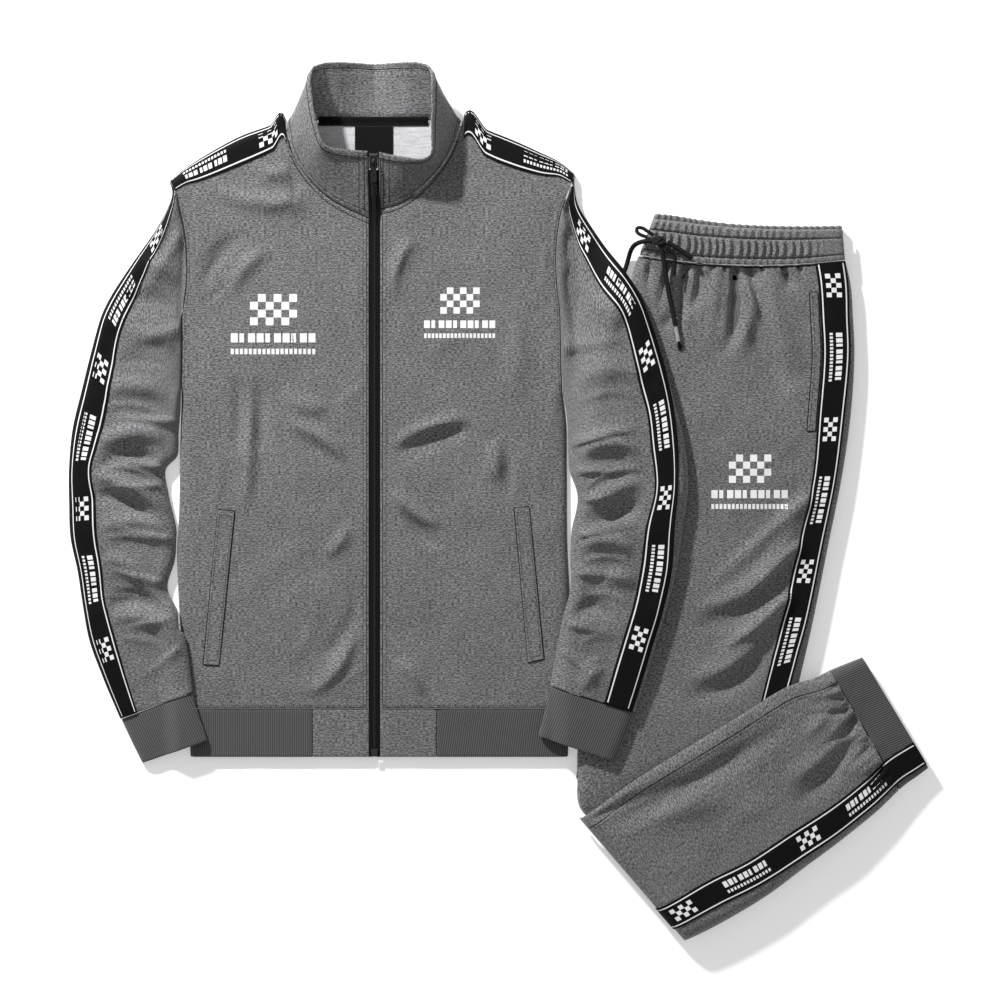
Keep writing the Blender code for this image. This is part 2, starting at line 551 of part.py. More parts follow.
def add_neck_pieces():
    """Tape over the back neck seam, and the plain label below it, both on the inside."""
    x = np.linspace(-62, 59, 9)
    rows = [(343.2, 2.4), (348.0, 3.0), (353.0, 3.9)]
    low = np.array([[(px, y, z) for px in x] for y, z in rows[::-1]], float)
    high = low + np.array([0, 0, TAPE])
    add_shell("neck_tape", high[:, ::-1], low[:, ::-1], False, BLACK)
    x, y = np.meshgrid(np.linspace(-22, 20, 3), np.array([342.7, 326, 310]))
    low = np.dstack([x, y, np.full_like(x, BACK_TOP + LIE)])
    high = low + np.array([0, 0, 0.8])
    add_shell("neck_label", high[:, ::-1], low[:, ::-1], False, BLACK)


def zip_path():
    """Rows of y and z along the top of the zip, hem to collar rim."""
    body = [(HEM_Y, 7.6), (-230, 7.6), (-115, 7.6), (0, 7.6), (115, 7.6), (FRONT_NECK_Y - 8, 7.6)]
    collar = [(FRONT_NECK_Y + 8, 10.8), (262, 16.4), (280, 23.6), (292, 28.4)]
    return np.array(body + collar, float)


def add_ribbon(name, x0, x1, path, thickness, colour):
    along = np.gradient(path, axis=0)
    along = along / np.linalg.norm(along, axis=1, keepdims=True)
    down = np.column_stack([along[:, 1], -along[:, 0]])
    low = path + down * thickness
    high_rows = np.array([[(x, y, z) for x in (x0, x1)] for y, z in path])
    low_rows = np.array([[(x, y, z) for x in (x0, x1)] for y, z in low])
    add_shell(name, high_rows[:, ::-1], low_rows[:, ::-1], False, colour)


def add_box(bm, low, high):
    """Box between two corners, in millimetres, added to a bmesh."""
    low, high = np.array(low, float), np.array(high, float)
    made = bmesh.ops.create_cube(bm, size=1)["verts"]
    for v in made:
        v.co = [((low[k] + high[k]) / 2 + v.co[k] * (high[k] - low[k])) * MM for k in range(3)]
    return made


CHAIN = 2.5           # half width of the zip's chain
SLIDER_Y = 300.0      # middle of the slider, on the collar
SLIDER_Z = 31.6
SLIDER_TILT = 0.38    # slope of the zip on the collar, radians
PULL_AXIS = 3.1       # height of the pull's pin over the chain
PULL_LEAN = 0.06      # how far the pull lies down from the chain's slope, radians


def place_on_zip(obj):
    obj.rotation_euler = (SLIDER_TILT, 0, 0)
    obj.location = (0, SLIDER_Y * MM, SLIDER_Z * MM)


def boolean_union(obj, bm):
    """Join a second shape to an object by an exact union."""
    tool_mesh = bpy.data.meshes.new(obj.name + "_add")
    bm.to_mesh(tool_mesh)
    bm.free()
    tool = bpy.data.objects.new(obj.name + "_add", tool_mesh)
    bpy.context.scene.collection.objects.link(tool)
    tool.hide_render = True
    tool.display_type = "WIRE"
    modifier = obj.modifiers.new("join", "BOOLEAN")
    modifier.operation = "UNION"
    modifier.object = tool
    return tool


def add_zip():
    path = zip_path()
    add_ribbon("zip_tape_right", -ZIP_SIDE + LIE, -CHAIN - LIE, path - (0, 0.3), TAPE, BLACK)
    add_ribbon("zip_tape_left", CHAIN + LIE, ZIP_SIDE - LIE, path - (0, 0.3), TAPE, BLACK)
    chain = path[1:].copy()
    chain = np.vstack([[(HEM_Y + 9.5, path[0, 1])], chain])
    add_ribbon("zip_chain", -CHAIN, CHAIN, chain, 1.8, BLACK)
    bm = bmesh.new()
    add_box(bm, (-3.4, HEM_Y + 0.5, 7.9), (3.4, HEM_Y + 9.0, 9.4))
    box = add_mesh("zip_box", bm, BLACK, 0.4)
    bevel = box.modifiers.new("edges", "BEVEL")
    bevel.width = 0.5 * MM
    # slider: top plate, post ahead of the chain, lower plate and the arch that holds the pull
    bm = bmesh.new()
    outline = [(-8, 0.45), (5, 0.45), (5, -2.6), (-6, -2.6), (-6, -3.8), (7.5, -3.8), (8.5, -2.8),
               (8.5, 0.6), (7.0, 1.8), (-7.2, 1.8), (-8, 1.2)]
    left = [bm.verts.new((-4.6 * MM, y * MM, z * MM)) for y, z in outline]
    right = [bm.verts.new((4.6 * MM, y * MM, z * MM)) for y, z in outline]
    bm.faces.new(left)
    bm.faces.new(right[::-1])
    for i in range(len(outline)):
        k = (i + 1) % len(outline)
        bm.faces.new((left[i], right[i], right[k], left[k]))
    slider = add_mesh("zip_slider", bm, BLACK, 0.35, 0.6)
    tool = boolean_union(slider, arch_shape())
    place_on_zip(slider)
    place_on_zip(tool)


def arch_shape():
    """Half ring across the slider's top plate, which the pull's pin goes through."""
    outer_r, inner_r, half = 3.7, 2.25, 1.2
    angles = np.linspace(0, np.pi, 9)
    bm = bmesh.new()

    def line(x, radius):
        return [bm.verts.new((x * MM, -radius * np.cos(a) * MM, (1.7 + radius * np.sin(a)) * MM))
                for a in angles]

    lines = [line(-half, outer_r), line(half, outer_r), line(half, inner_r), line(-half, inner_r)]
    for first, second in zip(lines, lines[1:] + lines[:1]):
        for k in range(len(angles) - 1):
            bm.faces.new((first[k], first[k + 1], second[k + 1], second[k]))
    for k in (0, -1):
        bm.faces.new([side[k] for side in lines])
    bmesh.ops.recalc_face_normals(bm, faces=bm.faces)
    return bm


def add_pull():
    """Pull tab on the arch: pin bar, two arms and the tab, with its origin on the pin."""
    bm = bmesh.new()
    bmesh.ops.create_cone(bm, cap_ends=True, segments=10, radius1=0.75 * MM, radius2=0.75 * MM,
                          depth=5.6 * MM)
    for v in bm.verts:
        v.co = (v.co.z, v.co.y, v.co.x)
    pull = add_mesh("zip_pull", bm, BLACK, 0.35, 0.6)
    frame = bmesh.new()
    outline = [(-2.8, 0.9), (-1.6, 0.9), (-1.6, -5.5), (1.6, -5.5), (1.6, 0.9), (2.8, 0.9),
               (3.3, -6.5), (3.3, -21.5), (2.4, -22.6), (-2.4, -22.6), (-3.3, -21.5), (-3.3, -6.5)]
    low = [frame.verts.new((x * MM, y * MM, -0.6 * MM)) for x, y in outline]
    high = [frame.verts.new((x * MM, y * MM, 0.6 * MM)) for x, y in outline]
    frame.faces.new(low[::-1])
    frame.faces.new(high)
    for i in range(len(outline)):
        k = (i + 1) % len(outline)
        frame.faces.new((low[i], low[k], high[k], high[i]))
    bmesh.ops.recalc_face_normals(frame, faces=frame.faces)
    tool = boolean_union(pull, frame)
    pin_y = SLIDER_Y - PULL_AXIS * np.sin(SLIDER_TILT)
    pin_z = SLIDER_Z + PULL_AXIS * np.cos(SLIDER_TILT)
    for obj in (pull, tool):
        obj.location = (0, pin_y * MM, pin_z * MM)
        obj.rotation_euler = (SLIDER_TILT + PULL_LEAN, 0, 0)


def add_welt(name, corners, sign):
    """Pocket welt: a strip laid on a front panel. Corners: top outer, top inner, bottom ones."""
    corners = np.array(corners, float)
    v, u = np.meshgrid(np.linspace(0, 1, 9), np.linspace(0, 1, 4), indexing="ij")
    v, u = v[..., None], u[..., None]
    plan = ((1 - v) * ((1 - u) * corners[0] + u * corners[1])
            + v * ((1 - u) * corners[2] + u * corners[3]))
    z = front_height(sign, plan[..., 0], plan[..., 1])
    outer = np.dstack([plan, z])
    add_strip(name, outer, normals(outer, False), 1.3, CLOTH, clear=0.6)


def leg_beyond_sleeve(x, y):
    """1 where the upper leg shows, 0 under the wearer's left sleeve."""
    outline = np.array(SLEEVE_LEFT, float)[::-1]
    reach = through(outline[:, 1], outline[:, 0], y)
    return smoothstep(4, 22, x - reach)


def leg_columns(width, near, far):
    """Distances from a leg section's left end, with lines at the tape's and welt's edges."""
    left = [width * 0 + LEG_ROLL * s for s in (0, 0.12, 0.45, 1)]
    welt = width - far - 10
    middle = [LEG_ROLL + (welt - LEG_ROLL) * s for s in np.linspace(0, 1, 9)[1:]]
    right = [width - far - 1.5, width - far, width - far + (far - near) * 0.5,
             width - far + (far - near) * 0.8, width - near, width - near * 0.35, width]
    return np.hstack(left + middle + right)


def upper_leg_grid(t):
    rows = at(UPPER_LEG, t)
    left, right = rows[:, None, 0:2], rows[:, None, 2:4]
    width = np.linalg.norm(right - left, axis=2)
    d = leg_columns(width, rows[:, 4:5], rows[:, 5:6])
    plan = left + (right - left) * (d / width)[..., None]
    x, y = plan[..., 0], plan[..., 1]
    seam = np.array(BAND, float)
    bend = np.clip(1 - t / 0.12, 0, 1)[:, None] ** 2
    first = UPPER_LEG[0]
    straight = first[1] + (x - first[0]) / (first[2] - first[0]) * (first[3] - first[1])
    y = y + bend * (through(seam[:, 2], seam[:, 3], x) - 0.8 - straight)
    crown = roll(d, LEG_ROLL) * roll(width - d, LEG_ROLL) * (1 - 0.25 * smoothstep(0.95, 1, t)[:, None])
    calm = smoothstep(0, 22, d) * smoothstep(14, 44, width - d) * leg_beyond_sleeve(x, y)
    calm = calm * smoothstep(1.0, 0.86, t)[:, None] * smoothstep(0, 0.02, t)[:, None]
    z = LAYER_TOP + (LEG_TOP - LAYER_TOP) * crown + relief(LEG_FOLDS, x, y) * calm
    return np.dstack([x, y, z])


def add_upper_leg():
    """Upper leg's visible cloth, its side tape and its pocket welt."""
    t = np.concatenate([[0.0], np.linspace(0.03, 1, 19)])
    outer = upper_leg_grid(t)

    def trim(inner):
        inner[..., 2] = np.maximum(inner[..., 2], LAYER_TOP)

    add_wall("upper_leg", outer, WALL, trim=trim)
    normal = normals(outer, False)
    last = outer.shape[1]
    tape = slice(last - 6, last - 2)
    add_strip("leg_tape_upper", outer[:, tape], normal[:, tape], TAPE, BLACK)
    rows = np.nonzero((outer[:, -1, 1] < 172) & (outer[:, -1, 1] > -8))[0]
    rows = slice(rows[0], rows[-1] + 1)
    welt = slice(last - 8, last - 6)
    add_strip("leg_welt", outer[rows, welt], normal[rows, welt], 1.2, CLOTH)


def lower_leg_grid(t):
    """Outer points of the lower leg, from its top edge across to its bottom edge."""
    rows = at(LOWER_LEG, t)
    top, bottom = rows[:, None, 0:2], rows[:, None, 2:4]
    width = np.linalg.norm(bottom - top, axis=2)
    near, far = rows[:, 6:7], rows[:, 7:8]
    edge = [width * 0 + 11 * s for s in (0, 0.12, 0.45, 1)]
    middle = [11 + (width - far - 11) * s for s in np.linspace(0, 1, 8)[1:]]
    last = [width - far + (far - near) * s for s in (0.5, 1)] + [width - near * s for s in (0.5, 0.12, 0)]
    d = np.hstack(edge + middle + last)
    plan = top + (bottom - top) * (d / width)[..., None]
    x, y = plan[..., 0], plan[..., 1]
    height, top_edge = rows[:, 4:5], rows[:, 5:6]
    fold = roll(t * 420, 16)[:, None]
    lip = top_edge + (height - top_edge) * roll(d, 11)
    z = LAYER_TOP + (lip - LAYER_TOP) * roll(width - d, LEG_ROLL) * (0.25 + 0.75 * fold)
    calm = smoothstep(4, 26, d) * smoothstep(far, far + 14, width - d) * smoothstep(0.04, 0.12, t)[:, None]
    calm = calm * smoothstep(1.0, 0.95, t)[:, None]
    return np.dstack([x, y, z + relief(LOWER_FOLDS, x, y) * calm])


def add_lower_leg():
    """Lower leg's visible cloth, the ankle cuff and the tape that crosses both."""
    leg = np.linspace(0, ANKLE_SEAM, 16)
    leg = np.concatenate([[0, 0.01], leg[1:]])
    cuff = np.linspace(ANKLE_SEAM + 0.003, 1, 4)
    outer = lower_leg_grid(np.concatenate([leg, cuff]))[:, ::-1]

    def trim(inner):
        inner[..., 2] = np.maximum(inner[..., 2], LAYER_TOP)

    count = len(leg)
    normal = normals(outer, False)
    inner = outer - normal * WALL
    trim(inner)
    add_shell("lower_leg", outer[:count], inner[:count], False, CLOTH)
    inner = outer - normal * RIB_WALL
    trim(inner)
    add_shell("ankle_cuff", outer[count:], inner[count:], False, RIB)
    tape = slice(2, 5)
    add_strip("leg_tape_lower", outer[:, tape], normal[:, tape], TAPE, BLACK)


def inset_loop(loop, distance):
    """Closed plan loop moved in by a distance for each point."""
    ahead = np.roll(loop, -1, axis=0) - loop
    ahead = ahead / np.linalg.norm(ahead, axis=1, keepdims=True)
    area = np.sum(loop[:, 0] * np.roll(loop[:, 1], -1) - np.roll(loop[:, 0], -1) * loop[:, 1])
    side = np.column_stack([-ahead[:, 1], ahead[:, 0]]) * np.sign(area)
    before = np.roll(side, 1, axis=0)
    spread = 1 + np.sum(side * before, axis=1, keepdims=True)
    return loop + (side + before) / np.maximum(spread, 0.5) * np.reshape(distance, (-1, 1))


def add_layers(name, loop, levels, cap, colour=CLOTH):
    """Rounded stack of hidden layers: rings of one outline, with grooves between layers."""
    bm = bmesh.new()
    rings = []
    for z, inset, to_cap in levels:
        plan = inset_loop(loop, inset)
        height = z + to_cap * (cap - z)
        rings.append([bm.verts.new((x * MM, y * MM, h * MM))
                      for (x, y), h in zip(plan, np.broadcast_to(height, len(plan)))])
    for low, high in zip(rings, rings[1:]):
        for i in range(len(low)):
            k = (i + 1) % len(low)
            bm.faces.new((low[i], low[k], high[k], high[i]))
    bm.faces.new(rings[0][::-1])
    bm.faces.new(rings[-1])
    add_mesh(name, bm, colour)


# Columns: height, inset from the outline, share of the way up to the cap.
STACK = [
    (0.0, 2.4, 0), (1.0, 0.9, 0), (2.8, 0.9, 0), (3.7, 2.8, 0), (4.6, 0.9, 0), (6.6, 0.9, 0),
    (7.4, 6.0, 0), (7.4, 8.0, 0.6), (7.4, 13.0, 1.0)]


def add_hidden_layers():
    t = np.linspace(0.02, 0.95, 16)
    rows = at(UPPER_LEG, t)
    loop = np.vstack([rows[:, 2:4], rows[::-1, 0:2]])
    add_layers("upper_leg_layers", loop, STACK, 9.4)
    t = np.linspace(0.022, 0.985, 15)
    rows = at(LOWER_LEG, t)
    along = (rows[:, 2:4] - rows[:, 0:2]) / np.linalg.norm(rows[:, 2:4] - rows[:, 0:2], axis=1)[:, None]
    on_leg = smoothstep(489, 478, rows[:, 0])[:, None]
    start = rows[:, 0:2] + along * (TUCK + 4) * on_leg
    loop = np.vstack([rows[:, 2:4], start[::-1]])
    cap = np.concatenate([rows[:, 4], rows[::-1, 4]]) - 8.5
    add_layers("lower_leg_layers", loop, STACK, np.minimum(cap, 15.0))


def band_gather(t, v):
    """Height of the gathers on the waistband's front."""
    wave = 0.5 + 0.5 * np.cos(2 * np.pi * BAND_GATHERS * t)
    channel = smoothstep(0.28, 0.4, v) * smoothstep(0.84, 0.76, v)
    narrow = 0.45 * (smoothstep(0.0, 0.12, v) * smoothstep(0.3, 0.22, v) + smoothstep(0.83, 0.93, v))
    fade = smoothstep(0, 0.02, t) * smoothstep(1.0, 0.86, t)
    return wave * (1.5 * channel + narrow) * fade


def add_waistband():
    count = BAND_GATHERS * 2 + 1
    t = np.linspace(0, 1, count)
    rows = at(BAND, t)
    v = np.array([0, 0.12, 0.3, 0.56, 0.83, 1.0])[:, None]
    plan = rows[None, :, 0:2] + (rows[:, 2:4] - rows[:, 0:2])[None] * v[..., None]
    grooves = 1.3 * np.exp(-((v - 0.3) / 0.05) ** 2) + 1.0 * np.exp(-((v - 0.83) / 0.05) ** 2)
    ends = roll(t * 226, 8)[None] * roll((1 - t) * 226, 8)[None]
    edge = roll(v * 42 + 0.1, 5)
    z = 14.0 + (BAND_TOP - 14.0) * ends * (0.4 + 0.6 * edge) - grooves + band_gather(t[None], v)
    outer = np.dstack([plan, np.broadcast_to(z, plan.shape[:2])])

    def trim(inner):
        inner[..., 2] = np.maximum(inner[..., 2], 10.6)

    add_wall("waistband_front", outer, RIB_WALL, colour=RIB, trim=trim)
    t = np.linspace(0.0, 1, 18)
    rows = at(BAND, t)
    away = rows[:, 0:2] - rows[:, 2:4]
    away = away / np.linalg.norm(away, axis=1, keepdims=True)
    shown = BAND_STRIP * (0.6 + 0.4 * smoothstep(0.5, 0, t))[:, None]
    far_edge = rows[:, 0:2] + away * shown
    near_edge = rows[:, 2:4] + away * 2.4
    levels = [(z, inset, 0) for z, inset, _ in STACK[1:8:2]] + [(8.6, 1.4, 0), (10.0, 3.2, 0)]
    loop = np.vstack([near_edge, far_edge[::-1]])
    add_layers("waistband_back", loop, levels, 10.0, RIB)


def add_cord(name, points, radius, colour=BLACK):
    """Cord along a smooth curve through its route's points, with closed ends."""
    route = np.array(points, float)
    steps = np.linalg.norm(np.diff(route, axis=0), axis=1)
    places = np.concatenate([[0], np.cumsum(steps)])
    count = max(4, int(places[-1] / (4.4 * radius)) + 1)
    smooth = through(places, route, np.linspace(0, places[-1], count))
    curve = bpy.data.curves.new(name, "CURVE")
    curve.dimensions = "3D"
    curve.bevel_depth = radius * MM
    curve.bevel_resolution = 2
    curve.use_fill_caps = True
    spline = curve.splines.new("POLY")
    spline.points.add(count - 1)
    for point, place in zip(spline.points, smooth):
        point.co = (*(place * MM), 1)
    obj = bpy.data.objects.new(name, curve)
    bpy.context.scene.collection.objects.link(obj)
    colour_node(obj, colour, 0.8)
    return obj


CORD = 2.6            # drawstring radius
KNOT = (313.0, 213.0, 27.6)

# Routes, columns: x, y, z.
LONG_END = [
    (314.5, 205.0, 27.0), (316, 197, 26.4), (318, 186, 24.8), (320, 172, 23.0), (323, 155, 22.4),
    (327, 137, 22.4), (330, 121, 22.4)]
LEFT_END = [
    (304.5, 213, 27.6), (298, 213.5, 27.2), (291.5, 212.5, 25.2), (285.5, 210, 19.0), (281.5, 204, 10.0),
    (279.5, 197, 4.6), (277, 188, 2.9), (273, 178, 2.8)]
LEFT_LOOP = [
    (306, 219.5, 28.2), (299, 224, 28.2), (292, 228, 27.4), (287.5, 227.5, 27.2), (287.5, 223.6, 27.4),
    (293, 219.5, 28.0), (299, 217.6, 28.6)]
RIGHT_LOOP = [
    (320.6, 212, 27.8), (328, 208, 27.4), (336, 203, 27.0), (343, 198, 26.4), (348, 194.5, 25.8)]
LOWER_LOOP = [
    (320.5, 206.0, 27.0), (326, 201, 26.2), (329, 194, 25.4), (329, 184, 23.4), (328, 176, 22.4)]


def add_drawstring():
    bm = bmesh.new()
    bmesh.ops.create_icosphere(bm, subdivisions=2, radius=1)
    for v in bm.verts:
        v.co = (v.co.x * 6.8 * MM, v.co.y * 6.4 * MM, v.co.z * 3.9 * MM)
    knot = add_mesh("drawstring_knot", bm, BLACK)
    knot.location = [k * MM for k in KNOT]
    add_cord("drawstring_long_end", LONG_END, CORD)
    add_cord("drawstring_left_end", LEFT_END, CORD)
    add_cord("drawstring_left_loop", LEFT_LOOP, 2.0)
    add_cord("drawstring_right_loop", RIGHT_LOOP, CORD)
    add_cord("drawstring_lower_loop", LOWER_LOOP, 2.0)
    bm = bmesh.new()
    bmesh.ops.create_cone(bm, cap_ends=True, segments=12, radius1=2.0 * MM, radius2=2.3 * MM,
                          depth=16 * MM)
    aglet = add_mesh("drawstring_aglet", bm, (0.35, 0.35, 0.35), 0.4)
    aglet.location = (331.8 * MM, 112.0 * MM, 22.4 * MM)
    aglet.rotation_euler = (np.pi / 2, 0, 0.18)


def build():
    for obj in list(bpy.data.objects):
        bpy.data.objects.remove(obj)
    add_back()
    add_front(-1, "front_right", "shoulder_tape_right")
    add_front(1, "front_left", "shoulder_tape_left")
    add_sleeve(-1, SLEEVE_RIGHT, "sleeve_right", "sleeve_tape_right")
    add_sleeve(1, SLEEVE_LEFT, "sleeve_left", "sleeve_tape_left")
    add_cuff(-1, CUFF_RIGHT, "cuff_right")
    add_cuff(1, CUFF_LEFT, "cuff_left")
    add_hem()
    add_collar()
    add_neck_pieces()
    add_zip()
    add_pull()
    add_welt("welt_right", [(-172, -80), (-154, -82), (-188, -250), (-171, -251)], -1)
    add_welt("welt_left", [(154, -78), (170, -77), (169, -248), (186, -244)], 1)
    add_upper_leg()
    add_lower_leg()
    add_hidden_layers()
    add_waistband()
    add_drawstring()


build()
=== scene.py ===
"""Looks of the tracksuit laid flat: knit cloth, rib, tapes, zip teeth, stitching and drawstring.

The pieces are made on the same lines as the solids, with finer sampling. Tables and sizes are in
millimetres and are scaled to metres when a mesh is made.
"""

import bpy
import numpy as np
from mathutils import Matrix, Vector


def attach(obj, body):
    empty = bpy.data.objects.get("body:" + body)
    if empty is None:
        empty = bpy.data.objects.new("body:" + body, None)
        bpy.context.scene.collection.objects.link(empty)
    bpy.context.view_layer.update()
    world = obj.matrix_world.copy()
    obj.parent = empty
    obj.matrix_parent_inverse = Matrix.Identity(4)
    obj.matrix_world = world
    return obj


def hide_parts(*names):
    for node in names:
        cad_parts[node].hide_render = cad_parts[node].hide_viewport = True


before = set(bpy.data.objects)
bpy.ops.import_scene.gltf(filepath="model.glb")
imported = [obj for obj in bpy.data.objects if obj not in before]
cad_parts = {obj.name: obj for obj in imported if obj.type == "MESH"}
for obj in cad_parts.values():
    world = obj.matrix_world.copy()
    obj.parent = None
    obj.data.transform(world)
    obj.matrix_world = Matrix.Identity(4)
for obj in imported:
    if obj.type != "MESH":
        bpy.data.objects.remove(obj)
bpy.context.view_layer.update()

MM = 0.001
SIDES = ((-1, "right"), (1, "left"))     # sign of x, and the wearer's side

# Cloth and seams
WALL = 2.0            # jersey, one wall
RIB_WALL = 2.4        # doubled rib of cuffs, hem and waistband
COLLAR_WALL = 2.5     # doubled collar
TAPE = 0.9            # woven tape
SEAM = 0.5            # clear between pieces that are sewn together
LIE = 0.3             # clear between a panel and what lies on it
TAPE_CLEAR = 0.25     # clear under a woven tape
MARK_LIFT = 0.10      # a tape's woven marks above the tape
OVERLAP = 1.2         # clear between a sleeve and what it lies on
THREAD = 0.42         # half width of a stitch
STITCH = 2.5          # length of a stitch
STITCH_PITCH = 3.3    # from one stitch to the next
STITCH_LIFT = 0.12
STITCH_FACES = [(0, 2, 1), (0, 3, 2), (4, 1, 2), (4, 2, 3), (0, 1, 5), (0, 5, 3), (4, 5, 1), (4, 3, 5)]
MARK_PITCH = 79.0     # from one woven mark to the next along a tape
CHAIN = 2.5           # half width of the zip's chain
TOOTH_PITCH = 1.35
TOOTH_FACES = [(0, 1, 2, 3), (7, 6, 5, 4), (0, 4, 5, 1), (1, 5, 6, 2), (2, 6, 7, 3), (3, 7, 4, 0)]
FRONT_DEEPER = 1.28   # how much of a solid's fold is added again on the fronts
LEG_DEEPER = 1.6
STEEP = 0.4           # a pleat's steep side, as a share of its other side
PUCKERS = 12          # gathers at the ankle seam
STACK_TOP = 7.4       # top of the folded layers under the trousers
LATTICE = 128         # random values along each side of a noise pattern
LIFT_BEGINS = (-190, -135)   # y below which the right and the left sleeve lie on the body

# Heights above the floor
BACK_TOP = 2.0
FRONT_TOP = 8.5
SLEEVE_EDGE = 3.0     # height of a sleeve's widest line
LEG_TOP = 18.0
LAYER_TOP = 8.0       # hidden layers that show at a folded edge
BAND_TOP = 20.0
BODY_ROLL = 9.0       # how far in from its edge the cloth rolls down
SLEEVE_ROLL = 13.0
LEG_ROLL = 14.0

HEM_SEAM_Y = -299.0
HEM_Y = -352.0
HEM_TOP = 8.0
BLOCK_X = 68.5        # outer edge of the self-cloth blocks in the hem
ZIP_SIDE = 6.3        # from the centre line to a front panel's edge
NECK_POINT = 99.0     # where collar, shoulder and back meet
FRONT_NECK_Y = 240.0
BACK_NECK_Y = 348.0

# Columns: x, y. Top edge of a front panel: neck seam, then the shoulder to the armhole.
TOP_RIGHT = [
    (-6.3, 240), (-20, 246), (-33, 252), (-55, 266), (-77, 289), (-87, 304), (-94, 322), (-99, 349),
    (-115, 343), (-148, 331), (-178, 315), (-199, 302), (-212, 293), (-225, 282)]
TOP_LEFT = [
    (6.3, 250), (22, 254), (41, 264), (60, 281), (76, 300), (86, 317), (92, 332), (97, 350),
    (124, 338), (149, 328), (180, 314), (207, 300), (219, 290)]

# Columns: x, y. Armhole seam, then the side of the body down to the hem seam.
SIDE_RIGHT = [
    (-225, 282), (-220, 272), (-214, 247), (-209, 222), (-207, 195), (-208, 163), (-212, 135),
    (-212, 107), (-213, 51), (-215, -20), (-216, -82), (-218, -124), (-216, -188), (-212, -240),
    (-206, -299), (-203, -352)]
SIDE_LEFT = [
    (219, 290), (215, 271), (207, 252), (202, 227), (200, 199), (201, 167), (204, 142), (205, 107),
    (207, 51), (211, 19), (212, -35), (213, -130), (215, -167), (215, -240), (214, -299), (213, -352)]

# Columns: x from the centre line, depth of the tape that lies along the shoulder.
SHOULDER_TAPE = [(6, 27), (99, 27), (148, 31), (178, 27), (199, 21), (212, 15), (225, 11)]

# Columns: outer x, outer y, inner x, inner y, height, tape's near edge, tape's far edge.
# A row is one section from the sleeve's outer fold to its inner fold, armhole to cuff seam.
SLEEVE_RIGHT = [
    (-225, 282, -213, 51, 9.0, 0.8, 11), (-245, 256, -213, 45, 11.0, 0.8, 13),
    (-266, 218, -214, 37, 13.0, 0.8, 22), (-285, 174, -214, 27, 14.0, 0.8, 32),
    (-300, 135, -215, 16, 14.0, 0.8, 34), (-311, 96, -216, 3, 14.0, 0.8, 35),
    (-322, 52, -216, -11, 14.0, 0.8, 34), (-332, 10, -218, -22, 14.5, 0.8, 33),
    (-336, -32, -230, -36, 15.0, 0.8, 26), (-336, -73, -227, -62, 15.0, 0.8, 30),
    (-334, -114, -218, -106, 14.0, 0.8, 30), (-327, -146, -220, -135, 14.0, 0.8, 28),
    (-321, -185, -228, -166, 14.0, 0.8, 26), (-314, -223, -216, -192, 14.0, 0.8, 29),
    (-300, -262, -207, -223, 13.0, 0.8, 26), (-280, -310, -199, -280, 11.0, 0.8, 21)]
SLEEVE_LEFT = [
    (219, 290, 207, 51, 9.0, 0.8, 15), (237, 266, 207, 45, 11.0, 0.8, 21),
    (255, 237, 208, 38, 13.0, 0.8, 35), (272, 199, 209, 30, 14.0, 0.8, 40),
    (288, 164, 210, 20, 14.5, 0.8, 36), (302, 127, 211, 9, 15.0, 0.8, 36),
    (316, 83, 212, -4, 15.5, 0.8, 36), (328, 41, 213, -19, 16.0, 3.0, 34),
    (339, -3, 214, -36, 16.0, 8.0, 38), (344, -50, 223, -66, 16.0, 12.0, 38),
    (338, -100, 216, -106, 15.5, 10.0, 42), (331, -146, 215, -135, 15.0, 6.0, 40),
    (319, -192, 215, -166, 14.5, 4.0, 37), (308, -229, 207, -198, 14.0, 4.0, 37),
    (298, -263, 200, -234, 13.0, 4.0, 37), (286, -301, 193, -273, 11.0, 4.0, 36)]

# Columns as above, without the tape: cuff seam, middle, open end.
CUFF_RIGHT = [(-279, -311, -200, -281, 9.5), (-268, -335, -192, -307, 10.0), (-256, -359, -183, -333, 9.5)]
CUFF_LEFT = [(285, -302, 193, -274, 9.5), (275, -328, 187, -301, 10.0), (264, -355, 180, -328, 9.5)]

# Columns: x, y. Left edge of the folded trousers, hidden under the sleeve; y falls.
LEG_EDGE = [
    (380, 500), (306, 239), (290, 199), (283, 179), (274, 130), (264, 75), (255, 15), (246, -50),
    (238, -115), (231, -190), (225, -300), (223, -370), (226, -420), (234, -437), (250, -520)]

# Columns: left x, left y, right x, right y, tape's near edge, tape's far edge from the right.
# Sections of the upper leg from the waist seam down to where the lower leg is folded over it.
UPPER_LEG = [
    (290, 199, 518, 194, 1.5, 35), (283, 179, 523, 172, 3.5, 37), (274, 130, 526.5, 130, 5.5, 37.5),
    (264, 75, 528, 90, 6, 37.5), (255, 15, 524, 25, 8, 38), (246, -50, 514, -45, 7, 34),
    (238, -115, 500, -115, 7, 35), (231, -190, 484, -195, 7, 36), (225, -300, 474, -240, 10, 41),
    (223, -370, 467, -270, 12, 46), (227, -410, 463, -288, 13, 49), (238, -422, 461, -297, 14, 50)]

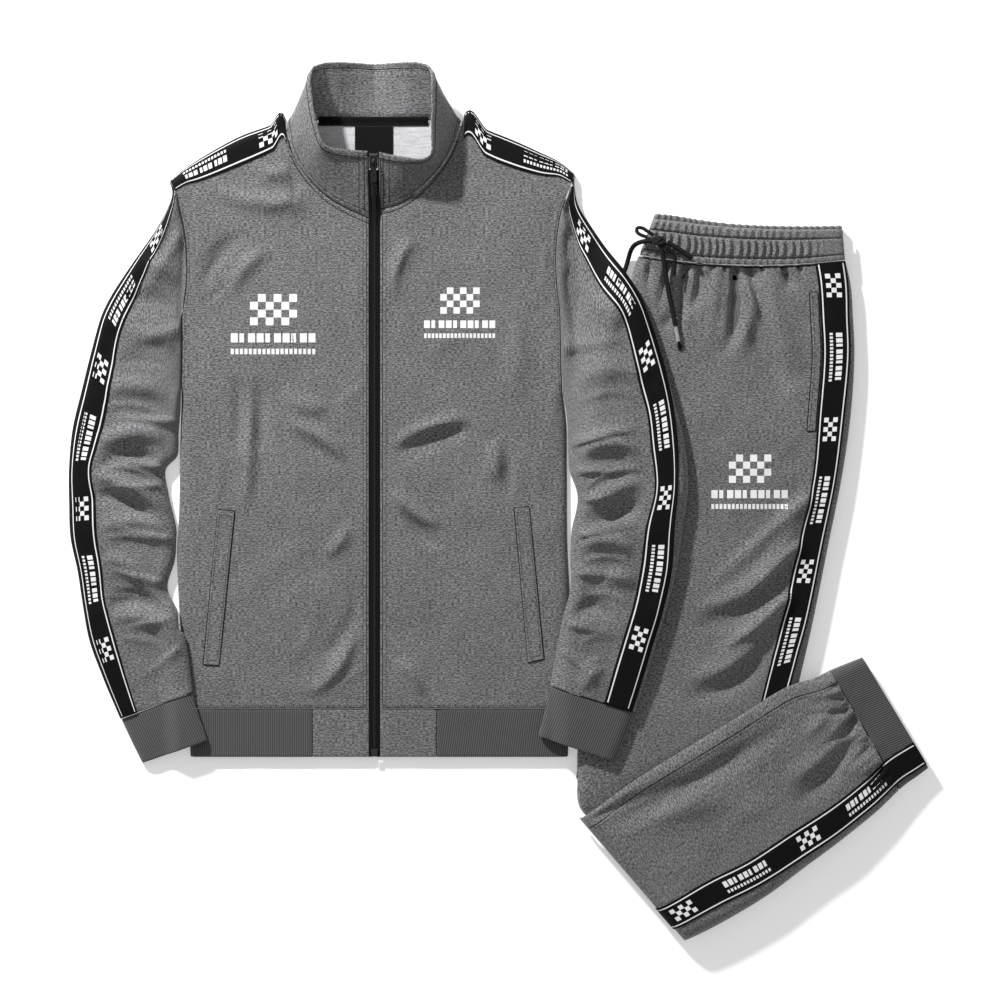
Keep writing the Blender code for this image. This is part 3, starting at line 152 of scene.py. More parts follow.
# Columns: top x, top y, bottom x, bottom y, height, height at the top edge, tape near, tape far.
# Sections of the lower leg from its fold, past the ankle seam, to the cuff's end.
LOWER_LEG = [
    (225, -419, 341, -554, 25, 20.8, 19, 49), (238, -410, 356, -547, 26, 21.2, 20, 50),
    (285, -376, 392, -528, 27, 21.2, 20, 51), (341, -341, 433, -503, 27, 21.2, 16, 47),
    (397, -307, 473, -473, 26, 21.2, 12, 44), (453, -273, 516, -441, 25, 21.2, 10, 41),
    (485, -264, 553, -411, 22, 12.0, 9, 39), (507, -254, 584, -382, 19, 8.5, 8, 37),
    (522, -248, 597, -373, 17, 8.5, 7, 36), (536, -242, 609, -364, 16, 8.5, 6, 34)]
ANKLE_SEAM = 0.885    # share of the way along the lower leg's middle line
TUCK = 26.0           # how far the lower leg lies over the upper leg

# Columns: top x, top y, seam x, seam y. The waistband's front, left to right.
BAND = [
    (306, 239, 291, 199.5), (328, 237, 320, 195), (352, 234, 352, 191), (394, 230, 394, 189),
    (436, 228, 436, 188.5), (478, 227.5, 480, 190.5), (514, 228, 517, 194)]
BAND_GATHERS = 26
BAND_STRIP = 7.0      # how far the far side of the waistband shows above the front
BAND_LONG = 226.0
# Columns: share of the way from the near edge to the far edge, height. The waistband behind.
BEHIND_SECTION = [
    (0.02, 0.0), (0.985, 0.0), (1.0, 1.6), (1.0, 4.2), (0.985, 5.0), (0.97, 5.4), (0.985, 5.8),
    (1.0, 6.6), (1.0, 8.8), (0.985, 9.8), (0.95, 10.3), (0.90, 10.3), (0.84, 10.2), (0.02, 10.0)]

# Columns: seam x, seam y, seam z, rim x, rim y, rim z, lift. The collar from zip to zip.
COLLAR = [
    (-6.3, 241, 8.5, -6.3, 310, 36, 1.0), (-20, 247, 8.5, -18, 311, 37, 1.0),
    (-33, 253, 8.5, -30, 312, 38, 1.0), (-55, 267, 8.5, -44, 313, 40, 1.0),
    (-77, 290, 8.2, -55, 320, 43, 1.0), (-87, 305, 7.5, -60, 334, 45, 1.0),
    (-93, 322, 6.0, -64, 352, 46, 1.0), (-97, 338, 4.2, -67, 374, 45, 1.0),
    (-97, 347, 2.0, -69, 390, 42, 1.1), (-91, 349.5, 0.4, -67, 401, 37, 1.3),
    (-76, 349.5, 0.0, -58, 407, 33, 1.6), (-50, 349.5, 0.0, -42, 409, 30, 1.8),
    (0, 349.5, 0.0, 0, 409, 28, 1.8), (45, 349.5, 0.0, 36, 409, 30, 1.8),
    (73, 349.5, 0.0, 53, 407, 33, 1.6), (90, 349.5, 0.4, 62, 401, 37, 1.3),
    (95.5, 347, 2.0, 64, 390, 42, 1.1), (95.5, 338, 4.2, 64.5, 372, 45, 1.0),
    (91, 330, 6.0, 64.5, 348, 46, 1.0), (85, 315, 7.5, 64.5, 326, 45, 1.0),
    (74, 299, 8.2, 63, 308, 43, 1.0), (59, 281, 8.5, 55, 302, 41, 1.0),
    (40, 264.5, 8.5, 39, 303, 39, 1.0), (21, 255, 8.5, 22, 306, 37, 1.0),
    (6.3, 251, 8.5, 6.3, 309, 36, 1.0)]

# Folds. Columns: start x, start y, end x, end y, bow, width, height (a trough is below zero).
BODY_FOLDS = [
    (-178, 273, -65, 262, -10, 9, 2.5), (-136, 300, -83, 287, -4, 7, 2.0),
    (-194, 165, -146, 224, 5, 8, -2.2), (-161, 157, -115, 209, 5, 8, 2.2),
    (-152, 67, -152, -20, 4, 8, -2.2), (-141, 60, -144, -82, 6, 7, 2.6),
    (-129, 67, -129, -20, 4, 8, -2.2), (-97, 16, -30, -27, 8, 8, 2.8),
    (-100, 50, -51, 33, -8, 9, 2.0), (-26, -95, -53, -131, 3, 8, 2.2),
    (-24, -198, -80, -286, 16, 9, 2.6), (-18, -165, -60, -245, 12, 9, -2.0),
    (44, 222, 17, 151, -6, 8, 2.4), (21, -10, 109, 20, 6, 8, 3.0),
    (21, -21, 109, 9, 6, 8, -2.4), (21, -57, 72, -99, -5, 7, 2.6),
    (31, -74, 72, -124, -5, 7, -2.2), (130, -2, 131, -50, 3, 8, 2.2),
    (143, -2, 147, -70, 2, 7, -1.8), (25, -244, 52, -284, 4, 7, 2.0),
    (150, 150, 152, 40, 8, 12, 1.6)]
SLEEVE_FOLDS = [
    (-258, 192, -216, 170, 4, 9, 2.5), (-271, 151, -218, 140, 6, 9, -2.2),
    (-280, 112, -218, 101, 8, 10, 2.6), (-296, 50, -225, 41, 10, 10, 3.0),
    (-307, -11, -225, -3, 10, 9, 4.0), (-302, -29, -236, -25, 6, 7, -3.0),
    (-308, -41, -228, -82, 6, 8, 4.0), (-305, -60, -236, -99, 4, 8, -3.0),
    (-302, -97, -223, -104, 8, 9, 3.0), (-297, -131, -253, -158, 5, 8, 3.0),
    (-293, -183, -218, -200, 10, 9, -3.0), (-290, -200, -220, -215, 10, 10, 2.6),
    (222, 250, 224, 107, -5, 11, -3.4), (214, -29, 292, -16, 14, 9, 4.0),
    (223, -82, 292, -48, 4, 8, 4.0), (241, -90, 292, -71, -4, 8, -3.4),
    (216, -124, 284, -126, 12, 9, 4.0), (252, -154, 286, -163, 4, 9, 3.0),
    (211, -202, 264, -200, 16, 9, -3.2), (227, -278, 250, -249, 3, 7, 2.4),
    (231, 151, 270, 118, 4, 12, 2.4), (220, 63, 292, 68, 8, 11, 2.4)]
LEG_FOLDS = [
    (325, 135, 308, 112, 2, 6, -2.2), (335, 181, 333, 124, 2, 6, -2.4),
    (360, 182, 344, 135, 3, 7, -2.6), (394, 186, 383, 87, 10, 8, -3.0),
    (404, 180, 395, 90, 10, 9, 2.6), (401, 162, 457, 48, -6, 13, -2.8),
    (425, 175, 470, 70, -6, 13, 2.0), (447, 183, 455, 160, 2, 5, -1.8),
    (465, -88, 351, -191, 22, 10, 3.6), (465, -108, 351, -211, 22, 10, -2.4),
    (446, -173, 383, -225, 8, 9, 2.8), (439, -225, 340, -288, 12, 10, -2.6),
    (430, -205, 345, -268, 12, 9, 2.4)]
LOWER_FOLDS = [
    (240, -431, 457, -309, -8, 10, -3.0), (534, -306, 462, -403, 8, 9, -2.8),
    (520, -300, 450, -380, 8, 9, 2.6), (548, -331, 516, -370, 4, 7, 2.2),
    (505, -290, 470, -330, 2, 7, 2.0), (300, -420, 400, -400, 10, 16, 1.8)]


def smoothstep(low, high, x):
    """0 below low, 1 above high, smooth between."""
    s = np.clip((np.asarray(x, float) - low) / (high - low), 0, 1)
    return s * s * (3 - 2 * s)


def through(places, values, x):
    """Smooth curve through the values at rising places, read at x."""
    places = np.asarray(places, float)
    values = np.asarray(values, float)
    slopes = np.gradient(values, places, axis=0)
    x = np.clip(np.asarray(x, float), places[0], places[-1])
    i = np.clip(np.searchsorted(places, x, side="right") - 1, 0, len(places) - 2)
    step = places[i + 1] - places[i]
    s = (x - places[i]) / step
    if values.ndim == 2:
        s = s[..., None]
        step = step[..., None]
    return ((1 + 2 * s) * (1 - s) ** 2 * values[i] + s * (1 - s) ** 2 * step * slopes[i]
            + s * s * (3 - 2 * s) * values[i + 1] + s * s * (s - 1) * step * slopes[i + 1])


def travelled(points):
    """Distance along rows of points, from 0 at the first row."""
    steps = np.linalg.norm(np.diff(points, axis=0), axis=-1)
    return np.concatenate([np.zeros_like(steps[:1]), np.cumsum(steps, axis=0)])


def at(table, t):
    """Rows of a section table at shares t of the way along its middle line."""
    table = np.array(table, float)
    places = travelled((table[:, 0:2] + table[:, 2:4]) / 2)
    return through(places / places[-1], table, t)


def roll(distance, radius):
    """Share of the full height at a distance in from a rolled edge."""
    d = np.clip(np.asarray(distance, float) / radius, 0, 1)
    return np.sqrt(1 - (1 - d) ** 2)


def fold_place(x0, y0, x1, y1, x, y):
    """Share of the way along a fold, and distance to its side."""
    dx, dy = x1 - x0, y1 - y0
    length = np.hypot(dx, dy)
    return (((x - x0) * dx + (y - y0) * dy) / length ** 2,
            ((y - y0) * dx - (x - x0) * dy) / length)


def relief(table, x, y):
    """Sum of the soft ridges and troughs in a fold table."""
    total = np.zeros(np.broadcast(x, y).shape)
    for *ends, bow, width, height in table:
        share, side = fold_place(*ends, x, y)
        side = side - bow * 4 * share * (1 - share)
        total += height * np.clip(1 - (2 * share - 1) ** 2, 0, None) * np.exp(-(side / width) ** 2)
    return total


def edge_x(table, y):
    """x of a side line at height y; its rows run down the garment."""
    rows = np.array(table, float)[::-1]
    return through(rows[:, 1], rows[:, 0], y)


def top_y(table, x):
    """y of a front panel's top edge at x."""
    rows = np.array(table, float)
    order = np.argsort(rows[:, 0])
    return through(rows[order, 0], rows[order, 1], x)


def side_of(sign):
    return SIDE_LEFT if sign > 0 else SIDE_RIGHT


def top_of(sign):
    return TOP_LEFT if sign > 0 else TOP_RIGHT


def closed_side(y):
    """1 where the body's side is a folded edge, 0 along the armhole."""
    return 1 - smoothstep(36, 64, y)


def inside_side(sign, x, y):
    """Distance in from the side of the body."""
    return np.abs(edge_x(side_of(sign), y)) - np.abs(x)


def front_height(sign, x, y, deeper=0.0):
    """Top of a front panel; deeper is how much of each of its folds is added again."""
    side = inside_side(sign, x, y)
    shoulder = below_shoulder(sign, x, y)
    at_shoulder = smoothstep(90, NECK_POINT, np.abs(x))
    height = FRONT_TOP * (1 - closed_side(y) * (1 - roll(side, BODY_ROLL)))
    height = height * (1 - at_shoulder * (1 - roll(shoulder, BODY_ROLL)))
    calm = smoothstep(6, 26, np.abs(x)) * smoothstep(8, 30, side) * smoothstep(10, 36, shoulder)
    calm = calm * smoothstep(HEM_SEAM_Y, HEM_SEAM_Y + 22, y)
    return height + (1 + deeper) * relief(BODY_FOLDS, x, y) * calm


def below_shoulder(sign, x, y):
    """Distance down from a front panel's top edge, along the cloth."""
    return (top_y(top_of(sign), x) - y) * 0.9


def over_body(sign, x, y):
    """Height that lifts a sleeve's end over the body's side."""
    begins = LIFT_BEGINS[sign > 0]
    raised = smoothstep(-30, -7, inside_side(sign, x, y)) * smoothstep(begins + 30, begins - 25, y)
    return (FRONT_TOP + OVERLAP) * raised


def over_leg(x, y):
    """Height that lifts the wearer's left sleeve over the trousers."""
    return (LEG_TOP + OVERLAP) * smoothstep(-52, -9, x - edge_x(LEG_EDGE, y))


def ground(sign, x, y):
    """What a sleeve or cuff lies on."""
    lift = over_body(sign, x, y)
    return np.maximum(lift, over_leg(x, y)) if sign > 0 else lift


def normals(points, wrap=False):
    """Unit normals of a grid of points, along columns first; wrap closes the columns."""
    if wrap:
        across = np.roll(points, -1, axis=1) - np.roll(points, 1, axis=1)
    else:
        across = np.gradient(points, axis=1)
    normal = np.cross(np.gradient(points, axis=0), across)
    return normal / np.maximum(np.linalg.norm(normal, axis=-1, keepdims=True), 1e-9)


def sleeve_line(sign, table, t, distances):
    """Plan points at distances in from a sleeve's outer fold, one row for each t."""
    rows = at(table, t)
    outer, inner = rows[:, None, 0:2], rows[:, None, 2:4]
    plan = outer + (inner - outer) * (distances / np.linalg.norm(inner - outer, axis=2))[..., None]
    x, y = plan[..., 0], plan[..., 1]
    side = np.abs(edge_x(side_of(sign), y)) + SEAM
    by_armhole = np.clip(1 - t / 0.22, 0, 1)[:, None] ** 2 * (rows.shape[1] > 5)
    x = sign * (np.abs(x) + by_armhole * (side - np.abs(x)))
    begins = LIFT_BEGINS[sign > 0]
    allowed = 60 * smoothstep(begins - 20, begins - 50, y)
    return sign * np.maximum(np.abs(x), side + 0.3 - allowed), y


BODY = "suit"
CLOTH_FINE = 3.0      # spacing of the cloth's points


def section_uv(rows, across):
    """UV of a panel: across its sections, and down its middle line."""
    down = -travelled((rows[:, 0:2] + rows[:, 2:4]) / 2)
    return np.dstack(np.broadcast_arrays(across, down[:, None]))


def lattice_noise(x, y, size, seed):
    """Smooth noise from -1 to 1 with bumps of about that size."""
    values = np.random.default_rng(seed).uniform(-1, 1, (LATTICE, LATTICE))
    u = np.asarray(x, float) / size + 5 * LATTICE
    v = np.asarray(y, float) / size + 5 * LATTICE
    i, j = np.floor(u).astype(int), np.floor(v).astype(int)
    s, t = u - i, v - j
    s, t = s * s * (3 - 2 * s), t * t * (3 - 2 * t)
    i, j = i % LATTICE, j % LATTICE
    k, m = (i + 1) % LATTICE, (j + 1) % LATTICE
    return ((1 - s) * (1 - t) * values[i, j] + s * (1 - t) * values[k, j]
            + (1 - s) * t * values[i, m] + s * t * values[k, m])


def rumple(x, y, seed, amount=1.0):
    """Slight unevenness of soft cloth that lies loose."""
    wide = 0.55 * lattice_noise(x, y, 34, seed) + 0.34 * lattice_noise(x, y * 0.8, 17, seed + 1)
    return amount * (wide + 0.10 * lattice_noise(x, y, 7, seed + 2))


def softened(data, wrap):
    """A grid with more lines close to its open edges, so that those edges can be rounded."""
    def ends(rows):
        near = [rows[0] + (rows[1] - rows[0]) * f for f in (0.08, 0.28)]
        far = [rows[-1] + (rows[-2] - rows[-1]) * f for f in (0.28, 0.08)]
        return np.concatenate([rows[:1], near, rows[1:-1], far, rows[-1:]])
    data = ends(data)
    if not wrap:
        data = ends(data.transpose(1, 0, 2)).transpose(1, 0, 2)
    return data


def edge_distance(points, wrap):
    """Distance of every grid point from the nearest open edge."""
    def run(rows):
        along = travelled(rows)
        return np.minimum(along, along[-1:] - along)
    distance = run(points)
    if not wrap:
        distance = np.minimum(distance, run(points.transpose(1, 0, 2)).T)
    return distance


def finish_piece(obj, materials, stands_for):
    """Puts a piece in the scene, on the suit's body, in place of the solids that it stands for."""
    for material in materials:
        obj.data.materials.append(material)
    bpy.context.scene.collection.objects.link(obj)
    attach(obj, BODY)
    if stands_for:
        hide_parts(*stands_for)
    return obj


def mesh_object(name, points, faces, uv=None, smooth=True, face_material=None):
    mesh = bpy.data.meshes.new(name)
    mesh.from_pydata((np.asarray(points) * MM).tolist(), [], faces)
    if uv is not None:
        layer = mesh.uv_layers.new(name="UVMap")
        index = np.empty(len(mesh.loops), dtype=np.int32)
        mesh.loops.foreach_get("vertex_index", index)
        layer.data.foreach_set("uv", np.asarray(uv, np.float32)[index].ravel())
    if face_material is not None:
        mesh.polygons.foreach_set("material_index", np.asarray(face_material, np.int32))
    mesh.polygons.foreach_set("use_smooth", np.full(len(mesh.polygons), smooth))
    mesh.update()
    return bpy.data.objects.new(name, mesh)


def numbered(rows, columns, wrap=False):
    """Point numbers of a grid; wrap repeats its first column at the end."""
    index = np.arange(rows * columns).reshape(rows, columns)
    return np.hstack([index, index[:, :1]]) if wrap else index


def quads(index):
    """Faces between the rows and columns of a grid of point numbers."""
    corners = index[:-1, :-1], index[1:, :-1], index[1:, 1:], index[:-1, 1:]
    return np.stack(corners, axis=-1).reshape(-1, 4)


def shell_mesh(name, top, low, uv, wrap):
    """Closed shell between two grids, with a face material index of 1 on the under side."""
    index = numbered(*top.shape[:2], wrap)
    count = top.shape[0] * top.shape[1]
    upper = quads(index)
    borders = [index[0], index[-1, ::-1]]
    if not wrap:
        borders += [index[::-1, 0], index[:, -1]]
    rims = np.vstack([np.column_stack([line[:-1], line[1:], line[1:] + count, line[:-1] + count])
                      for line in borders])
    faces = np.vstack([upper, upper[:, ::-1] + count, rims])
    material = np.repeat([0, 1, 0], [len(upper), len(upper), len(rims)])
    points = np.concatenate([top.reshape(-1, 3), low.reshape(-1, 3)])
    uv = np.concatenate([uv.reshape(-1, 2)] * 2)
    return mesh_object(name, points, faces.tolist(), uv, face_material=material)


def add_cloth(name, grid, uv, thickness, materials, stands_for=(), wrap=False, floor=0.0, clear=0.0):
    """Thin cloth with rounded edges: grid holds its outer points, clear moves it out along its normals."""
    data = softened(np.dstack([grid, uv]), wrap)
    outer, uv = data[..., :3], data[..., 3:]
    normal = normals(outer, wrap)
    outer = outer + normal * (clear + thickness * (clear > 0))
    full = 0.3 + 0.7 * roll(edge_distance(outer, wrap), thickness * 0.6)
    middle = outer - normal * thickness / 2
    top = middle + normal * (thickness / 2 * full)[..., None]
    low = middle - normal * (thickness / 2 * full)[..., None]
    under = floor(outer[..., 0], outer[..., 1]) if callable(floor) else floor
    low[..., 2] = np.maximum(low[..., 2], under)
    top[..., 2] = np.maximum(top[..., 2], under + 0.3 * (thickness > 1))
    obj = shell_mesh(name, top, low, uv, wrap)
    if len(materials) == 1:
        materials = materials * 2
    return finish_piece(obj, materials, stands_for)


def capped_rings(name, rings, uv, stands_for):
    """Closed jersey form through rings of points, with a flat face on each end."""
    index = numbered(*rings.shape[:2], wrap=True)
    faces = quads(index).tolist() + [index[0, :-1].tolist(), index[-1, -2::-1].tolist()]
    obj = mesh_object(name, rings.reshape(-1, 3), faces, uv=uv.reshape(-1, 2))
    return finish_piece(obj, [JERSEY], stands_for)


def grey(value):
    """A grey that is very slightly blue."""
    return (value, value, value * 1.01, 1)


class Finish:
    """A material on its way: a principled shader and the nodes that feed it."""

    def __init__(self, name, roughness=0.9, base=0.1, gloss=0.5, **sockets):
        self.material = bpy.data.materials.new(name)
        self.material.use_nodes = True
        self.nodes = self.material.node_tree.nodes
        self.links = self.material.node_tree.links
        self.inputs = self.nodes["Principled BSDF"].inputs
        self.inputs["Roughness"].default_value = roughness
        self.inputs["Base Color"].default_value = (base, base, base, 1)
        self.inputs["Specular IOR Level"].default_value = gloss
        for socket, value in sockets.items():
            self.inputs[socket.replace("_", " ")].default_value = value

    def node(self, kind, vector=None, **values):
        node = self.nodes.new("ShaderNode" + kind)
        for socket, value in values.items():
            node.inputs[socket].default_value = value
        if vector is not None:
            self.links.new(vector, node.inputs["Vector"])
        return node

    def mapped(self, scale):
        coordinates = self.node("TexCoord").outputs["UV"]
        return self.node("Mapping", coordinates, Scale=(*scale, 1)).outputs["Vector"]

    def noise(self, scale, detail=2.0, roughness=0.6):
        vector = self.mapped(scale)
        return self.node("TexNoise", vector, Scale=1.0, Detail=detail, Roughness=roughness).outputs["Fac"]

    def ramp(self, value, *stops):
        """Greys between two stops, each a place and a level."""
        node = self.node("ValToRGB")
        for element, (place, level) in zip(node.color_ramp.elements, stops):
            element.position = place
            element.color = grey(level)
        self.links.new(value, node.inputs["Fac"])
        return node.outputs["Color"]

    def multiplied(self, first, second, share):
        node = self.node("Mix")
        node.data_type = "RGBA"
        node.blend_type = "MULTIPLY"
        node.inputs["Factor"].default_value = share
        self.links.new(first, node.inputs["A"])
        self.links.new(second, node.inputs["B"])
        return node.outputs["Result"]

    def done(self, colour, height, distance, strength):
        """Links the colour and a bump of that height, and gives the material."""
        bump = self.node("Bump", Strength=strength, Distance=distance)
        self.links.new(height, bump.inputs["Height"])
        self.links.new(bump.outputs["Normal"], self.inputs["Normal"])
        self.links.new(colour, self.inputs["Base Color"])
        return self.material


def knit(name, light, dark):
    """Heathered jersey: flecks along the courses, faint horizontal streaks, a fine surface."""
    finish = Finish(name, 0.92, Sheen_Weight=0.25, Sheen_Roughness=0.45)
    flecks = finish.ramp(finish.noise((0.32, 0.86)), (0.41, dark), (0.59, light))
    streaks = finish.ramp(finish.noise((0.06, 0.5), 1.0, 0.5), (0.34, 0.62), (0.66, 1.0))
    wide = finish.ramp(finish.noise((0.012, 0.016), 2.0, 0.5), (0.3, 0.86), (0.7, 1.0))
    colour = finish.multiplied(finish.multiplied(flecks, streaks, 0.6), wide, 1.0)
    return finish.done(colour, finish.noise((0.7, 1.3), 3.0, 0.7), 0.0005, 0.55)


def rib_knit(name, light, dark):
    """Rib: fine cords along the length, with a light fleck."""
    finish = Finish(name, 0.92, Sheen_Weight=0.2, Sheen_Roughness=0.5)
    wave = finish.node("TexWave", finish.mapped((1.0, 1.0)), Scale=0.13, Distortion=0.4, Detail=1.0)
    wave.bands_direction = "X"
    cords = finish.ramp(wave.outputs["Fac"], (0.1, dark), (0.75, light))
    flecks = finish.ramp(finish.noise((0.8, 0.5), 3.0, 0.7), (0.35, 0.62), (0.65, 1.0))
    return finish.done(finish.multiplied(cords, flecks, 0.7), wave.outputs["Fac"], 0.0006, 0.6)


def plain_fabric(name, light, dark, scale, roughness, gloss=0.12):
    """Flat woven fabric or print with a fine, even grain."""
    finish = Finish(name, roughness, gloss=gloss)
    grain = finish.noise((scale, scale))
    return finish.done(finish.ramp(grain, (0.35, dark), (0.65, light)), grain, 0.0003, 0.4)


def object_noise(name, light, dark, scale, roughness, metallic=0.0, gloss=0.15):
    """Finish for pieces with no UV map: noise in the object's own space."""
    finish = Finish(name, roughness, gloss=gloss, Metallic=metallic)
    space = finish.node("TexCoord").outputs["Object"]
    grain = finish.node("TexNoise", space, Scale=scale, Detail=3.0).outputs["Fac"]
    return finish.done(finish.ramp(grain, (0.35, dark), (0.65, light)), grain, 0.0002, 0.35)


JERSEY = knit("jersey", 0.262, 0.064)
JERSEY_INSIDE = knit("jersey_inside", 0.72, 0.60)
COLLAR_CLOTH = knit("collar_cloth", 0.262, 0.058)
RIB = rib_knit("rib", 0.112, 0.036)
TAPE_BLACK = plain_fabric("tape_black", 0.006, 0.002, 1.6, 0.7, 0.10)
PRINT_WHITE = plain_fabric("print_white", 0.86, 0.78, 1.5, 0.6)
# Stitches are real thread, coloured darker than the cloth so that they also carry painted shade along the
# seams.
THREAD_WITH_SEAM_SHADE = object_noise("thread_with_seam_shade", 0.060, 0.030, 900, 0.8)
# Seam lines are near-black ribbons laid over seams, gaps and rims: painted shade where the grooves would be.
SEAM_SHADE = object_noise("painted_seam_shade", 0.016, 0.008, 900, 0.9, gloss=0.0)
CORD_BLACK = object_noise("cord_black", 0.014, 0.006, 700, 0.75)
ZIP_TAPE = object_noise("zip_tape", 0.012, 0.006, 1500, 0.85)
ZIP_CLOTH = plain_fabric("zip_cloth", 0.010, 0.005, 1.4, 0.85, 0.08)
# The collar's inside is the same grey cloth as its outside, made lighter: painted light on the inside, which
# faces away from the lamp.
COLLAR_INSIDE_PAINTED_LIGHT = knit("collar_inside_painted_light", 0.440, 0.120)
ZIP_TEETH = object_noise("zip_teeth", 0.020, 0.010, 500, 0.3, gloss=0.5)
ZIP_METAL = object_noise("zip_metal", 0.030, 0.016, 400, 0.46, 0.4, 0.5)
AGLET = object_noise("aglet", 0.36, 0.24, 600, 0.4, gloss=0.5)


def bilinear(grid, row, column):
    """Grid values at fractional row and column places."""
    row = np.clip(row, 0, grid.shape[0] - 1.001)
    column = np.clip(column, 0, grid.shape[1] - 1.001)
    i, j = row.astype(int), column.astype(int)
    s, t = (row - i)[..., None], (column - j)[..., None]
    return ((1 - s) * (1 - t) * grid[i, j] + s * (1 - t) * grid[i + 1, j]
            + (1 - s) * t * grid[i, j + 1] + s * t * grid[i + 1, j + 1])


class Ribbon:
    """Surface of a tape: its top points, rows along its length and columns across it."""

    def __init__(self, points):
        self.points = points
        self.normal = normals(points)
        self.along = travelled(points[:, points.shape[1] // 2])
        self.length = self.along[-1]

    def at(self, along, across):
        row = np.interp(along, self.along, np.arange(len(self.along)))
        column = np.asarray(across, float) * (self.points.shape[1] - 1)
        row, column = np.broadcast_arrays(row, column)
        return bilinear(self.points, row, column) + MARK_LIFT * bilinear(self.normal, row, column)


def square_to(ahead):
    """Unit vectors in the plan, square to the given ones."""
    side = np.column_stack([-ahead[:, 1], ahead[:, 0], np.zeros(len(ahead))])
    return side / np.maximum(np.linalg.norm(side, axis=1, keepdims=True), 1e-6)


class Gathered:
    """Prints, stitches or dark lines of painted shade, gathered into one mesh."""

    def __init__(self):
        self.points = []
        self.faces = []

    def add(self, points, faces):
        self.faces += (np.asarray(faces) + len(self.points)).tolist()
        self.points += points.reshape(-1, 3).tolist()

    def patch(self, place, u0, u1, v0, v1, step=2.5):
        """Patch of the surface that place(u, v) describes."""
        u = np.linspace(u0, u1, max(2, int(abs(u1 - u0) / step) + 1))
        v = np.linspace(v0, v1, max(2, int(abs(v1 - v0) / step) + 1))
        grid = place(*np.meshgrid(u, v, indexing="ij"))
        self.add(grid, quads(numbered(*grid.shape[:2])))

    def stitch(self, path):
        """Row of short raised stitches along a path."""
        places = travelled(path)
        starts = np.arange(0, places[-1] - STITCH, STITCH_PITCH)
        first, middle, last = [
            np.column_stack([np.interp(starts + more, places, path[:, k]) for k in range(3)])
            for more in (0, STITCH / 2, STITCH)]
        side = square_to(last - first) * THREAD
        up = np.array([0, 0, THREAD * 0.8])
        middle = middle + (0, 0, STITCH_LIFT)
        corners = [first, middle + side, middle + up, middle - side, last, middle - up]
        for six in np.stack(corners, axis=1):
            self.add(six, STITCH_FACES)

    def line(self, path, width):
        """Thin ribbon along a path, used for the painted shade of seams."""
        side = square_to(np.gradient(path, axis=0)) * width / 2
        self.add(np.stack([path + side, path - side], axis=1), quads(numbered(len(path), 2))[:, ::-1])

    def object(self, name, material, with_uv=False):
        points = np.array(self.points)
        obj = mesh_object(name, points, self.faces, uv=points[:, :2] if with_uv else None)
        return finish_piece(obj, [material], ())


PRINT = Gathered()
# Stitches take the dark thread: real stitching, partly painted seam shade.
STITCHES = Gathered()
# Dark ribbons of painted shade in seams and gaps.
SHADE_LINES = Gathered()



def mark_tape(ribbon, first, outer):
    """Generic woven marks: a line near each edge, checks and rows of dashes by turns."""
    def place(u, v):
        return ribbon.at(u, max(outer, 0) + v * (1 - abs(outer)))

    for low, high in ((0.085, 0.128), (0.872, 0.915)):
        PRINT.patch(place, 2, ribbon.length - 2, low, high)
    for index, along in enumerate(np.arange(first, ribbon.length - 12, MARK_PITCH)):
        if index % 2 == 0:
            add_checks(place, along, 0.25, (5, 3), (5.2, 0.167), 1.4)
            continue
        start = along - 27
        for k in range(9):
            PRINT.patch(place, start + k * 6.1, start + k * 6.1 + (4.6, 3.0)[k % 3 == 2], 0.50, 0.72, 1.4)
        for k in range(14):
            PRINT.patch(place, start + k * 3.9, start + k * 3.9 + 2.4, 0.28, 0.39, 1.4)


def add_checks(place, middle, low, count, size, step=2.5):
    """Block of checks, every second one printed, about a middle and up from a low edge."""
    for i in range(count[0]):
        for j in range(count[1]):
            if (i + j) % 2 == 0:
                u = middle + (i - count[0] / 2) * size[0]
                v = low + j * size[1]
                PRINT.patch(place, u, u + size[0], v, v + size[1], step)


def lay(grid):
    """Works out a strip's mean size across and down, in metres; the sizes are not used."""
    across, down = [travelled(lines)[-1].mean() * MM for lines in (grid.transpose(1, 0, 2), grid)]


def add_tape(name, points, stands_for, first, outer=0.0):
    """Woven tape on the points of the panel below it; points run along it, then across."""
    ribbon = Ribbon(points)
    uv = np.dstack(np.broadcast_arrays(np.linspace(0, 30, points.shape[1]), ribbon.along[:, None]))
    piece = add_cloth(name, points, uv, TAPE, [TAPE_BLACK], stands_for, clear=TAPE_CLEAR)
    lay(points)
    ribbon.points = points + ribbon.normal * (TAPE_CLEAR + TAPE)
    mark_tape(ribbon, first, outer)


# More creases, too small for the solids. Columns as in the fold tables.
BODY_CREASES = [
    (-196, 172, -158, 214, 3, 3.5, 0.9), (-188, 140, -150, 176, 3, 3.5, -0.8),
    (-150, 40, -146, -60, 3, 3.4, 0.9), (-134, 30, -138, -70, -3, 3.4, 0.8),
    (-92, 12, -40, -22, 5, 3.2, 1.0), (-84, -6, -36, -36, 4, 4, -0.8),
    (-30, -100, -60, -140, 3, 3.2, 0.9), (-24, -212, -70, -280, 12, 3.6, 1.0),
    (-60, -180, -110, -262, 10, 6, 0.9), (40, 214, 20, 160, -4, 3.2, 0.9),
    (24, -4, 96, 18, 5, 3.4, 1.1), (24, -34, 96, -8, 6, 3.6, -0.9), (24, -64, 66, -98, -4, 3.2, 1.0),
    (28, -92, 70, -132, -4, 4.5, 0.9), (150, -10, 153, -70, 3, 3.5, 0.8),
    (28, -250, 60, -290, 4, 3.2, 0.8), (60, 90, 120, 120, 6, 9, 0.9), (-60, 110, -120, 90, 6, 10, 0.8),
    (100, -60, 150, -130, 8, 10, 0.8), (-170, -20, -178, -75, 3, 5, 0.9), (176, -20, 180, -70, 3, 5, 0.8),
    (-120, -150, -70, -120, 6, 10, 0.8)]
